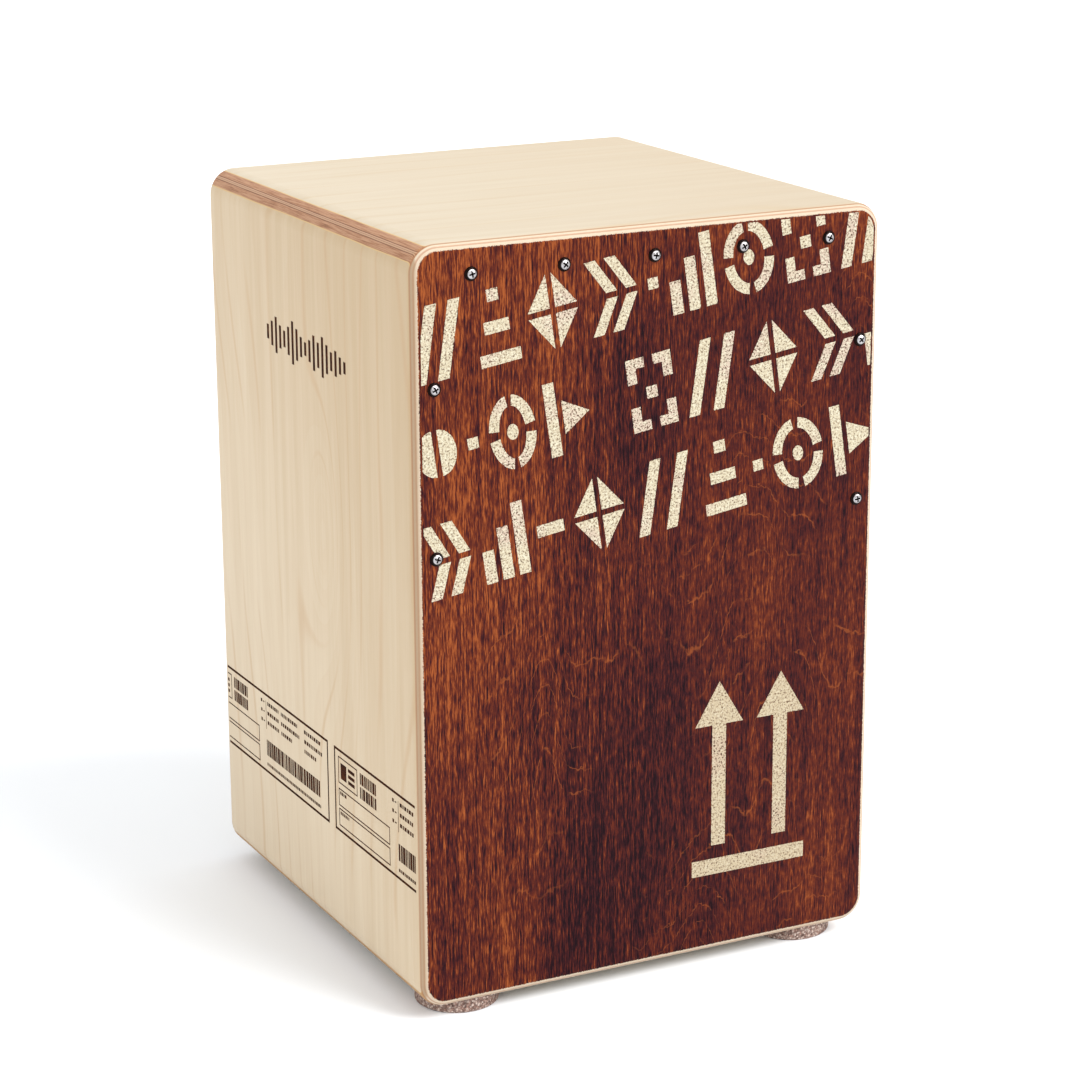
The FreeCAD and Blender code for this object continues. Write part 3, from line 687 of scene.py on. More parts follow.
@dataclass(frozen=True)
class PlayingFace:
    """Dark red-brown stain on the front, and bare pale plies at the rounded edge and inside."""

    name: str = "stained_face"
    night: Rgba = swatch(30, 10, 18)
    burgundy: Rgba = swatch(60, 22, 27)
    stain: Rgba = swatch(90, 34, 26)
    russet: Rgba = swatch(120, 52, 28)
    flame: Rgba = swatch(172, 90, 44)
    peach: Rgba = swatch(224, 196, 162)
    # Darker tan of the painted shade on the left edge's band.
    left_band_shade: Rgba = swatch(184, 150, 116)
    stain_inset: float = 3.9 * MM
    stain_depth: float = 0.6 * MM
    raggedness: float = 2.2 * MM
    crotch: tuple[float, float, float] = (-0.015, -0.15, 0.20)
    crotch_reach: tuple[float, float, float] = (0.10, 1.0, 0.09)

    def build(self) -> bpy.types.Material:
        """Make the material and return it."""
        surface = Surface(self.name, Specular_IOR_Level=0.06)
        graph = surface.graph
        place = surface.place
        figure = graph.shared(
            WOOD_FIGURE.tree(),
            Vector=Grain.ALONG_Z.turned(graph, place),
            Across=1300.0,
            Along=115.0,
            Wave=2.4,
        )
        stain = self.stained(graph, place, figure)
        _, y, _ = graph.parts(place)
        depth = graph.math("SUBTRACT", y, BOX.front)
        outline = graph.shared(
            OUTLINE_INSET.tree(), Vector=place, Corner_Radius=BOX.corner_radius, **BOX.spans()
        )
        ragged = graph.swing(graph.noise(place, 1500.0, 3.0, 0.7), self.raggedness)
        edge = graph.math("ADD", ragged, self.stain_inset)
        kept = graph.step(outline.outputs["Inset"], edge, graph.math("ADD", edge, 0.3 * MM))
        front = graph.step(depth, self.stain_depth, self.stain_depth * 0.8)
        colour = graph.tint(kept, front, self.bare(graph, place, depth), stain)
        fibre = figure.outputs["Fibre"]
        return surface.finish(colour, graph.scaled(fibre, 0.16, 0.32), fibre, 0.08 * MM)

    def stained(
        self, graph: Graph, place: Source, figure: bpy.types.Node
    ) -> bpy.types.NodeSocket:
        """Colour of the stained veneer.

        Args:
            graph: the material's graph.
            place: the place in the row frame.
            figure: the wood figure node.

        Returns:
            The colour's socket.
        """
        broad = graph.noise(graph.vector("MULTIPLY", place, (13.0, 1.0, 4.0)), 1.0, 3.0, 0.55)
        long_streak = graph.noise(graph.vector("MULTIPLY", place, (600.0, 1.0, 14.0)), 1.0, 1.5, 0.6)
        middle_streak = graph.noise(graph.vector("MULTIPLY", place, (120.0, 1.0, 8.0)), 1.0, 2.0, 0.5)
        mottle = graph.noise(graph.vector("MULTIPLY", place, (330.0, 1.0, 210.0)), 1.0, 3.0, 0.6)
        x, _, _ = graph.parts(place)
        straight = graph.step(graph.scaled(broad, 0.12, x), 0.11, 0.02)
        long_share = graph.scaled(straight, 0.5, 0.45)
        short_share = graph.scaled(straight, 0.6, 1.9)
        mottle_share = graph.math("SUBTRACT", 0.6, graph.math("MULTIPLY", straight, 0.3))
        shares = (
            (broad, 0.95),
            (long_streak, long_share),
            (middle_streak, 0.5),
            (mottle, mottle_share),
            (figure.outputs["Streak"], short_share),
        )
        tone = self.lighter_zones(graph, place)
        for part, share in shares:
            tone = graph.math("ADD", tone, graph.swing(part, share))
        colour = graph.ramp(
            tone,
            (
                (0.00, self.night),
                (0.22, self.burgundy),
                (0.45, self.stain),
                (0.66, self.russet),
                (0.95, self.flame),
            ),
        )
        colour = self.arches(graph, place, colour)
        return graph.tint(figure.outputs["Pore"], 0.4, colour, self.night)

    def lighter_zones(self, graph: Graph, place: Source) -> bpy.types.NodeSocket:
        """Where the veneer took less stain: along the left and the top, least in the lower middle.

        Args:
            graph: the material's graph.
            place: the place in the row frame.

        Returns:
            The base tone's socket.
        """
        x, _, z = graph.parts(place)
        left = graph.math("MULTIPLY", graph.step(x, -0.04, -0.11), 0.17)
        top = graph.math("MULTIPLY", graph.step(z, 0.37, 0.45), 0.13)
        near_middle = graph.step(graph.math("ABSOLUTE", x), 0.09, 0.01)
        low_middle = graph.math("MULTIPLY", near_middle, graph.step(z, 0.27, 0.12))
        middle = graph.math("MULTIPLY", low_middle, 0.13)
        right_high = graph.math("MULTIPLY", graph.step(x, 0.06, 0.10), graph.step(z, 0.12, 0.20))
        right_low = graph.math("MULTIPLY", graph.step(x, 0.07, 0.11), graph.step(z, 0.18, 0.10))
        right = graph.math("MULTIPLY", graph.math("SUBTRACT", right_high, right_low), 0.06)
        far_left = graph.math("MULTIPLY", graph.step(x, -0.126, -0.142), 0.08)
        lighter = graph.math("SUBTRACT", graph.math("ADD", graph.math("ADD", left, top), right), far_left)
        return graph.math("ADD", graph.math("SUBTRACT", lighter, middle), 0.38)

    def arches(self, graph: Graph, place: Source, colour: Source) -> bpy.types.NodeSocket:
        """Add thin nested arches of lighter figure in patches.

        Args:
            graph: the material's graph.
            place: the place in the row frame.
            colour: the colour so far.

        Returns:
            The colour's socket.
        """
        zigzag = graph.swing(graph.noise(place, 330.0, 2.0), 7 * MM)
        ragged = graph.vector("ADD", Grain.ALONG_Z.turned(graph, place), graph.join(0.0, 0.0, zigzag))
        lines = graph.shared(
            GROWTH_LINES.tree(),
            Vector=ragged,
            Across=4.0,
            Climb=50.0,
            Wave_Across=21.0,
            Wave_Along=5.0,
            Height=10.0,
            Jaggedness=1.0,
            Width=0.05,
            Swell=0.0,
        )
        patch = graph.noise(graph.vector("ADD", place, (3.1, 0.0, 1.7)), 10.0, 1.0)
        away = graph.vector("DIVIDE", graph.vector("SUBTRACT", place, self.crotch), self.crotch_reach)
        near = graph.scaled(graph.step(graph.dot(away, away), 1.3, 0.4), 0.16, patch)
        broken = graph.step(graph.noise(place, 150.0, 3.0), 0.36, 0.60)
        strength = graph.math("MULTIPLY", graph.step(near, 0.54, 0.64), broken)
        strength = graph.math("MULTIPLY", strength, lines.outputs["Line"])
        return graph.tint(strength, 0.58, colour, self.flame)

    def bare(self, graph: Graph, place: Source, depth: Source) -> bpy.types.NodeSocket:
        """Colour of the bare plies at the rounded edge and of the unstained inside, with a painted highlight
        along the rounding and painted shade on the left edge's band.

        Args:
            graph: the material's graph.
            place: the place in the row frame.
            depth: depth behind the front, in metres.

        Returns:
            The colour's socket.
        """
        layers = graph.ramp(
            graph.math("DIVIDE", depth, BOX.panel_back - BOX.front),
            (
                (0.00, swatch(214, 170, 144)),
                (0.05, swatch(228, 204, 176)),
                (0.16, swatch(234, 214, 188)),
                (0.36, swatch(234, 214, 188)),
                (0.40, swatch(206, 166, 140)),
                (0.56, swatch(216, 176, 148)),
                # Painted highlight: the band from 0.64 to 0.90 of the depth is a light ply painted whiter
                # still, as the shine along the rounded edge.
                (0.64, swatch(240, 220, 194)),
                (0.90, swatch(240, 220, 194)),
                (0.97, swatch(190, 142, 108)),
            ),
        )
        streaks = graph.noise(graph.vector("MULTIPLY", place, (500.0, 2200.0, 500.0)), 1.0, 3.0, 0.6)
        colour = graph.tint(graph.step(streaks, 0.42, 0.7), 0.35, layers, self.peach)
        x, _, _ = graph.parts(place)
        # Painted shade: the band along the left edge, which faces away from the main lamp, is tinted darker
        # tan, more so deeper in.
        left_edge = graph.step(x, -BOX.half_width + 4.5 * MM, -BOX.half_width + 3 * MM)
        behind = graph.step(depth, 0.7 * MM, 1.3 * MM)
        return graph.tint(left_edge, graph.scaled(behind, 0.45, 0.3), colour, self.left_band_shade)


@dataclass(frozen=True)
class PlainWood:
    """Solid timber or thin ply with its fibres along one axis."""

    name: str
    grain: Grain
    light: Rgba
    dark: Rgba
    across: float = 130.0
    along: float = 7.0
    roughness: float = 0.5
    pores: float = 0.3
    pore: Rgba = swatch(96, 62, 40)

    def build(self) -> bpy.types.Material:
        """Make the material and return it."""
        surface = Surface(self.name, Specular_IOR_Level=0.25)
        graph = surface.graph
        figure = graph.shared(
            WOOD_FIGURE.tree(),
            Vector=self.grain.turned(graph, surface.place),
            Across=self.across,
            Along=self.along,
            Wave=1.8,
        )
        colour = graph.blend(graph.step(figure.outputs["Streak"], 0.34, 0.68), self.light, self.dark)
        lines = graph.shared(
            GROWTH_LINES.tree(),
            Vector=self.grain.turned(graph, surface.place),
            Across=self.across * 1.6,
            Climb=3.0,
            Wave_Across=self.across * 0.5,
            Wave_Along=self.along * 0.6,
            Height=1.6,
            Jaggedness=1.5,
            Width=0.2,
            Swell=0.0,
        )
        colour = graph.tint(lines.outputs["Line"], 0.35, colour, self.dark)
        colour = graph.tint(figure.outputs["Pore"], self.pores, colour, self.pore)
        handling = graph.shared(
            HANDLING.tree(), Vector=surface.place, Per_Metre=30.0, Rub_Per_Metre=400.0
        )
        colour = graph.tint(handling.outputs["Soil"], 0.2, colour, self.dark)
        fibre = figure.outputs["Fibre"]
        roughness = graph.scaled(fibre, 0.2, self.roughness - 0.1)
        return surface.finish(colour, roughness, fibre, 0.1 * MM)


@dataclass(frozen=True)
class BackPly:
    """The back panel: pale veneer, with brown plies at its rim and round the sound hole."""

    name: str = "back_ply"
    pale: Rgba = swatch(238, 220, 190)
    warm: Rgba = swatch(222, 196, 158)
    ring: Rgba = swatch(206, 172, 130)
    pore: Rgba = swatch(176, 138, 100)
    brown: Rgba = swatch(180, 134, 100)
    brown_light: Rgba = swatch(208, 166, 130)

    def build(self) -> bpy.types.Material:
        """Make the material and return it."""
        surface = Surface(self.name, Specular_IOR_Level=0.2)
        graph = surface.graph
        figure = graph.shared(
            WOOD_FIGURE.tree(),
            Vector=Grain.ALONG_Z.turned(graph, surface.place),
            Across=48.0,
            Along=3.0,
            Wave=2.4,
        )
        streak = graph.step(figure.outputs["Streak"], 0.36, 0.66)
        veneer = graph.tint(streak, 0.5, self.pale, self.warm)
        lines = graph.shared(
            GROWTH_LINES.tree(),
            Vector=Grain.ALONG_Z.turned(graph, surface.place),
            Across=34.0,
            Climb=0.8,
            Wave_Across=5.0,
            Wave_Along=1.6,
            Height=9.0,
            Jaggedness=1.5,
            Width=0.1,
            Swell=0.0,
        )
        veneer = graph.tint(lines.outputs["Line"], 0.3, veneer, self.ring)
        veneer = graph.tint(figure.outputs["Pore"], 0.18, veneer, self.pore)
        _, y, _ = graph.parts(surface.place)
        depth = graph.math("SUBTRACT", BOX.back, y)
        thick = BOX.back - BOX.back_inner
        shallow = graph.math("MINIMUM", depth, graph.math("SUBTRACT", thick, depth))
        drawn = graph.vector("MULTIPLY", surface.place, (400.0, 2600.0, 400.0))
        brown = graph.blend(graph.noise(drawn, 1.0, 3.0, 0.6), self.brown, self.brown_light)
        brown = graph.blend(graph.line(depth, thick / 2, 0.6 * MM), brown, self.pale)
        colour = graph.blend(graph.step(shallow, 0.7 * MM, 0.8 * MM), veneer, brown)
        fibre = figure.outputs["Fibre"]
        return surface.finish(colour, graph.scaled(fibre, 0.14, 0.38), fibre, 0.06 * MM)


@dataclass(frozen=True)
class PressedGranules:
    """Rubber and cork granules pressed into the feet."""

    name: str = "foot_cork"
    light: Rgba = swatch(250, 226, 212)
    rosy: Rgba = swatch(204, 174, 160)
    middle: Rgba = swatch(186, 144, 128)
    dark: Rgba = swatch(82, 52, 44)

    def build(self) -> bpy.types.Material:
        """Make the material and return it."""
        surface = Surface(self.name, Specular_IOR_Level=0.3)
        graph = surface.graph
        grains = graph.shared(GRANULES.tree(), Vector=surface.place, Per_Metre=780.0)
        fine = graph.noise(surface.place, 2600.0, 3.0, 0.7)
        colour = graph.ramp(
            grains.outputs["Shade"],
            ((0.0, self.dark), (0.25, self.middle), (0.6, self.rosy), (0.9, self.light)),
        )
        colour = graph.tint(grains.outputs["Gap"], 0.6, colour, self.dark)
        colour = graph.tint(graph.step(fine, 0.45, 0.75), 0.4, colour, self.light)
        relief = graph.math("SUBTRACT", fine, graph.math("MULTIPLY", grains.outputs["Gap"], 0.8))
        return surface.finish(colour, graph.scaled(fine, 0.2, 0.72), relief, 0.4 * MM)


@dataclass(frozen=True)
class Metal:
    """Bare or plated metal with handling marks."""

    name: str
    colour: Rgba
    tarnish: Rgba
    roughness: float
    marks_per_metre: float = 500.0
    # Colour of the painted shade and painted reflection on screw heads.
    rim_shade_colour: Rgba = swatch(34, 24, 22)

    def painted_rim_shade(self, graph: Graph, place: Source) -> Source:
        """Where painted shade and a painted reflection of the panel sit. Plain metal has none."""
        return 0.0

    def build(self) -> bpy.types.Material:
        """Make the material and return it."""
        surface = Surface(self.name, Metallic=1.0)
        graph = surface.graph
        handling = graph.shared(
            HANDLING.tree(),
            Vector=surface.place,
            Per_Metre=self.marks_per_metre,
            Rub_Per_Metre=self.marks_per_metre * 4,
        )
        colour = graph.tint(handling.outputs["Soil"], 0.55, self.colour, self.tarnish)
        # Painted shade and painted reflection: a dark colour over the lower rim and recess of the panel
        # screws' heads; plain metal gets none.
        colour = graph.blend(self.painted_rim_shade(graph, surface.place), colour, self.rim_shade_colour)
        rub = handling.outputs["Rub"]
        return surface.finish(colour, graph.scaled(rub, 0.16, self.roughness), rub, 0.02 * MM)


@dataclass(frozen=True)
class PanelScrewSteel(Metal):
    """Plated steel with painted shade and a painted reflection of the dark panel round the lower rim of its
    head and in its recess.
    """

    rim_height: float = 1.75 * MM

    def painted_rim_shade(self, graph: Graph, place: Source) -> Source:
        """Where shade and the dark panel's reflection are painted: low on the head, close to the panel, and
        in the recess.
        """
        # Painted shade: the head turns dark from 1.4 mm off the panel down to it, recess floor included.
        _, y, _ = graph.parts(place)
        return graph.step(y, BOX.front - self.rim_height, BOX.front - self.rim_height * 0.8)


@dataclass(frozen=True)
class Felt:
    """Pressed wool felt."""

    name: str = "slot_felt"
    light: Rgba = swatch(74, 74, 78)
    dark: Rgba = swatch(34, 34, 37)

    def build(self) -> bpy.types.Material:
        """Make the material and return it."""
        surface = Surface(self.name, Specular_IOR_Level=0.2, Sheen_Weight=0.5, Sheen_Roughness=0.5)
        graph = surface.graph
        wool = graph.noise(surface.place, 2200.0, 5.0, 0.75)
        handling = graph.shared(
            HANDLING.tree(), Vector=surface.place, Per_Metre=260.0, Rub_Per_Metre=1800.0
        )
        colour = graph.blend(graph.step(wool, 0.35, 0.7), self.dark, self.light)
        colour = graph.tint(handling.outputs["Soil"], 0.3, colour, self.light)
        return surface.finish(colour, graph.scaled(wool, 0.1, 0.85), wool, 0.5 * MM)


@dataclass(frozen=True)
class StencilPaint:
    """Thin pale paint dabbed through a stencil, with dark wood showing through in specks."""

    name: str = "stencil_paint"
    paint: Rgba = swatch(224, 211, 180)
    fresh: Rgba = swatch(242, 234, 206)
    thin: Rgba = swatch(218, 190, 176)
    shadow: Rgba = swatch(122, 88, 60)
    wood: Rgba = swatch(70, 34, 22)
    khaki: Rgba = swatch(196, 170, 134)

    def build(self) -> bpy.types.Material:
        """Make the material and return it."""
        surface = Surface(self.name, Specular_IOR_Level=0.1)
        graph = surface.graph
        worn = graph.noise(surface.place, 24.0, 2.0, 0.5)
        grains = graph.shared(GRANULES.tree(), Vector=surface.place, Per_Metre=1150.0)
        fine = graph.noise(surface.place, 820.0, 3.0, 0.7)
        thin = graph.step(worn, 0.50, 0.66)
        colour = graph.tint(thin, 0.6, self.paint, self.thin)
        colour = graph.blend(graph.step(grains.outputs["Shade"], 0.45, 1.0), colour, self.fresh)
        _, _, z = graph.parts(surface.place)
        colour = graph.tint(graph.step(z, 0.24, 0.19), 0.42, colour, self.khaki)
        colour = graph.tint(graph.step(fine, 0.50, 0.57), 0.6, colour, self.shadow)
        level = graph.math("SUBTRACT", 0.60, graph.math("MULTIPLY", thin, 0.05))
        bare = graph.step(fine, level, graph.math("ADD", level, 0.03))
        colour = graph.tint(bare, 0.85, colour, self.wood)
        return surface.finish(colour, graph.scaled(fine, 0.2, 0.6), fine, 0.12 * MM)


@dataclass(frozen=True)
class BurntPrint:
    """Dark brown lines burnt into pale veneer."""

    name: str = "burnt_print"
    char: Rgba = swatch(44, 14, 2)
    scorch: Rgba = swatch(98, 50, 16)

    def build(self) -> bpy.types.Material:
        """Make the material and return it."""
        surface = Surface(self.name, Specular_IOR_Level=0.05)
        graph = surface.graph
        figure = graph.shared(
            WOOD_FIGURE.tree(),
            Vector=Grain.ALONG_Z.turned(graph, surface.place),
            Across=700.0,
            Along=90.0,
            Wave=1.0,
        )
        cloud = graph.noise(surface.place, 420.0, 3.0, 0.6)
        mixed = graph.math("MULTIPLY", graph.math("ADD", figure.outputs["Streak"], cloud), 0.5)
        colour = graph.blend(graph.step(mixed, 0.42, 0.66), self.char, self.scorch)
        roughness = graph.scaled(cloud, 0.2, 0.65)
        return surface.finish(colour, roughness, figure.outputs["Fibre"], 0.05 * MM)


# ---------------------------------------------------------------- flat marks


def geometry_tree(
    name: str, inputs: Sequence[tuple[str, str]], output: str
) -> bpy.types.NodeTree:
    """Make an empty Geometry Nodes tree with its sockets.

    Args:
        name: the tree's name.
        inputs: name and kind of each input.
        output: name of the one output, which is geometry.

    Returns:
        The tree.
    """
    tree = bpy.data.node_groups.new(name, "GeometryNodeTree")
    for label, kind in inputs:
        tree.interface.new_socket(label, in_out="INPUT", socket_type=f"NodeSocket{kind}")
    tree.interface.new_socket(output, in_out="OUTPUT", socket_type="NodeSocketGeometry")
    return tree


def give_out(graph: Graph, geometry: Source, finish: Source) -> None:
    """End a Geometry Nodes tree: make its instances real, set the material and give it out.

    Args:
        graph: the tree's graph.
        geometry: what the tree has made.
        finish: its material.
    """
    real = graph.call("GeometryNodeRealizeInstances", {"Geometry": geometry}).outputs[0]
    inputs = {"Geometry": real, "Material": finish}
    dressed = graph.call("GeometryNodeSetMaterial", inputs).outputs[0]
    graph.feed(graph.node("NodeGroupOutput").inputs[0], dressed)


@dataclass(frozen=True)
class MarkPress:
    """Geometry Nodes that turn flat outlines into thin closed plates with slightly ragged edges."""

    thickness: float
    raggedness: float
    grain_size: float
    seed: int = 3
    longest_edge: float = 0.8 * MM

    GROUP = "mark_press"
    INPUTS = (
        ("Outlines", "Geometry"),
        ("Direction", "Vector"),
        ("Thickness", "Float"),
        ("Raggedness", "Float"),
        ("Grain Size", "Float"),
        ("Seed", "Int"),
        ("Finish", "Material"),
    )

    @classmethod
    def tree(cls) -> bpy.types.NodeTree:
        """Return the tree, and build it if this is the first time."""
        known = bpy.data.node_groups.get(cls.GROUP)
        if known is not None:
            return known
        tree = geometry_tree(cls.GROUP, cls.INPUTS, "Plates")
        graph = Graph(tree)
        given = graph.node("NodeGroupInput").outputs
        scale = graph.math("DIVIDE", 1.0, given["Grain Size"])
        place = graph.node("GeometryNodeInputPosition").outputs[0]
        inputs = {"Vector": place, "W": given["Seed"], "Scale": scale}
        cloud = graph.call("ShaderNodeTexNoise", inputs, noise_dimensions="4D").outputs["Color"]
        push = graph.vector("SUBTRACT", cloud, (0.5, 0.5, 0.5))
        width = graph.math("MULTIPLY", given["Raggedness"], 2.0)
        sized = graph.vector("MULTIPLY", push, graph.join(width, width, width))
        upright = graph.vector("ABSOLUTE", given["Direction"], (0.0, 0.0, 0.0))
        flat = graph.vector("SUBTRACT", (1.0, 1.0, 1.0), upright)
        offset = graph.vector("MULTIPLY", sized, flat)
        inputs = {"Geometry": given["Outlines"], "Offset": offset}
        moved = graph.call("GeometryNodeSetPosition", inputs).outputs[0]
        inputs = {"Mesh": moved, "Offset": given["Direction"], "Offset Scale": given["Thickness"]}
        raised = graph.node("GeometryNodeExtrudeMesh", mode="FACES")
        raised.inputs["Individual"].default_value = False
        for name, value in inputs.items():
            graph.feed(raised.inputs[name], value)
        floor = graph.call("GeometryNodeFlipFaces", {"Mesh": moved}).outputs[0]
        joined = graph.node("GeometryNodeJoinGeometry")
        graph.feed(joined.inputs[0], raised.outputs["Mesh"])
        graph.feed(joined.inputs[0], floor)
        inputs = {"Geometry": joined.outputs[0], "Distance": 1e-6}
        merged = graph.call("GeometryNodeMergeByDistance", inputs).outputs[0]
        give_out(graph, merged, given["Finish"])
        return tree

    def press(
        self, name: str, face: "Face", outlines: Iterable[Outline], finish: bpy.types.Material
    ) -> bpy.types.Object:
        """Make one piece from flat outlines.

        Args:
            name: the piece's name.
            face: the face of the box that they lie on.
            outlines: closed outlines in the face's own coordinates.
            finish: the material.

        Returns:
            The finished piece.
        """
        points: list[Vector] = []
        faces: list[list[int]] = []
        for outline in outlines:
            dense = densified(counter_clockwise(outline), self.longest_edge)
            faces.append(list(range(len(points), len(points) + len(dense))))
            points.extend(face.point(u, v) for u, v in dense)
        mesh = bpy.data.meshes.new(f"{name}_flat")
        mesh.from_pydata(points, [], faces)
        settings = {
            "Direction": face.normal,
            "Thickness": self.thickness,
            "Raggedness": self.raggedness,
            "Grain Size": self.grain_size,
            "Seed": self.seed,
            "Finish": finish,
        }
        return made_by_nodes(name, mesh, self.tree(), settings)


def made_by_nodes(
    name: str, mesh: bpy.types.Mesh, tree: bpy.types.NodeTree, settings: dict[str, object]
) -> bpy.types.Object:
    """Run a Geometry Nodes tree on a mesh and keep the result as a plain object.

    Args:
        name: the new object's name.
        mesh: the mesh that the tree starts from.
        tree: the tree.
        settings: input name to value.

    Returns:
        The new object, at the origin, with no modifier.
    """
    holder = bpy.data.objects.new(f"{name}_holder", mesh)
    bpy.context.scene.collection.objects.link(holder)
    modifier = holder.modifiers.new("make", "NODES")
    modifier.node_group = tree
    for item in tree.interface.items_tree:
        if item.item_type == "SOCKET" and item.in_out == "INPUT" and item.name in settings:
            modifier[item.identifier] = settings[item.name]
    graph = bpy.context.evaluated_depsgraph_get()
    result = bpy.data.meshes.new_from_object(holder.evaluated_get(graph), depsgraph=graph)
    result.name = name
    bpy.data.objects.remove(holder)
    bpy.data.meshes.remove(mesh)
    piece = bpy.data.objects.new(name, result)
    bpy.context.scene.collection.objects.link(piece)
    return piece


def counter_clockwise(outline: Outline) -> Outline:
    """Return the outline so that it runs counter-clockwise."""
    area = 0.0
    for (u, v), (next_u, next_v) in zip(outline, outline[1:] + outline[:1]):
        area += u * next_v - next_u * v
    return outline if area > 0 else outline[::-1]


def densified(outline: Outline, longest: float) -> Outline:
    """Add points so that no edge is longer than a limit.

    Args:
        outline: the closed outline.
        longest: the longest edge.

    Returns:
        The outline with the added points.
    """
    dense: Outline = []
    for (u, v), (next_u, next_v) in zip(outline, outline[1:] + outline[:1]):
        pieces = max(1, math.ceil(math.hypot(next_u - u, next_v - v) / longest))
        for k in range(pieces):
            dense.append((u + (next_u - u) * k / pieces, v + (next_v - v) * k / pieces))
    return dense


def clipped(outline: Outline, border: Outline) -> Outline:
    """Cut an outline off where it leaves a border that has no hollows.

    Args:
        outline: the closed outline.
        border: the border, counter-clockwise.

    Returns:
        What is left, which may be empty.
    """
    left = outline
    for (u, v), (next_u, next_v) in zip(border, border[1:] + border[:1]):
        room = [(next_u - u) * (y - v) - (next_v - v) * (x - u) for x, y in left]
        kept: Outline = []
        for number, start in enumerate(left):
            following = (number + 1) % len(left)
            end = left[following]
            if room[number] >= 0:
                kept.append(start)
            if (room[number] >= 0) != (room[following] >= 0):
                share = room[number] / (room[number] - room[following])
                cut_u = start[0] + share * (end[0] - start[0])
                cut_v = start[1] + share * (end[1] - start[1])
                kept.append((cut_u, cut_v))
        left = kept
    return left


def box_outline(low_u: float, low_v: float, high_u: float, high_v: float) -> Outline:
    """Return a rectangle's outline."""
    return [(low_u, low_v), (high_u, low_v), (high_u, high_v), (low_u, high_v)]


def rounded_outline(
    low_u: float, low_v: float, high_u: float, high_v: float, radius: float
) -> Outline:
    """Return a rectangle's outline with round corners, counter-clockwise."""
    corners = (
        (high_u - radius, high_v - radius, 0),
        (low_u + radius, high_v - radius, 90),
        (low_u + radius, low_v + radius, 180),
        (high_u - radius, low_v + radius, 270),
    )
    outline: Outline = []
    for u, v, start in corners:
        outline += disc_outline(u, v, radius, radius, start, start + 90)
    return outline


def leaning(low_u: float, low_v: float, high_u: float, high_v: float, width: float) -> Outline:
    """Return a bar with level ends that leans from one point to another."""
    return [(low_u, low_v), (low_u + width, low_v), (high_u + width, high_v), (high_u, high_v)]


def frame_outlines(
    low_u: float, low_v: float, high_u: float, high_v: float, line: float
) -> list[Outline]:
    """Return the four lines of a rectangular frame, which meet but don't overlap."""
    return [
        box_outline(low_u, low_v, high_u, low_v + line),
        box_outline(low_u, high_v - line, high_u, high_v),
        box_outline(low_u, low_v + line, low_u + line, high_v - line),
        box_outline(high_u - line, low_v + line, high_u, high_v - line),
    ]


def disc_outline(
    u: float, v: float, radius_u: float, radius_v: float, start: float, end: float
) -> Outline:
    """Return the part of an ellipse between two angles in degrees, with its chord."""
    turns = [math.radians(start + (end - start) * k / ARC_STEPS) for k in range(ARC_STEPS + 1)]
    return [(u + radius_u * math.cos(turn), v + radius_v * math.sin(turn)) for turn in turns]


def arc_outline(
    u: float, v: float, radius_u: float, radius_v: float, width: float, start: float, end: float
) -> Outline:
    """Return a band along an ellipse between two angles in degrees.

    Args:
        u: first coordinate of the centre.
        v: second coordinate of the centre.
        radius_u: outer radius along the first coordinate.
        radius_v: outer radius along the second coordinate.
        width: the band's width.
        start: first angle.
        end: last angle.

    Returns:
        The band's outline.
    """
    outer = disc_outline(u, v, radius_u, radius_v, start, end)
    inner = disc_outline(u, v, radius_u - width, radius_v - width, start, end)
    return outer + inner[::-1]


class Mark(Enum):
    """Plain geometric figures that a crate stencil holds. None is a letter or a number."""

    TALLY = "three upright bars of growing height"
    HATCH = "leaning bars"
    CHEVRONS = "two nested chevrons"
    DIAMOND = "a diamond in four quarters"
    CORNERS = "the four corners of a frame"
    STEPS = "a pile of three level bars"
    TARGET = "a split ring with a dot"
    WEDGE = "a bar and a small wedge"
    HALVES = "two half discs"
    DASH = "a level bar"
    DOT = "a square dot"
    SPACE = "nothing"


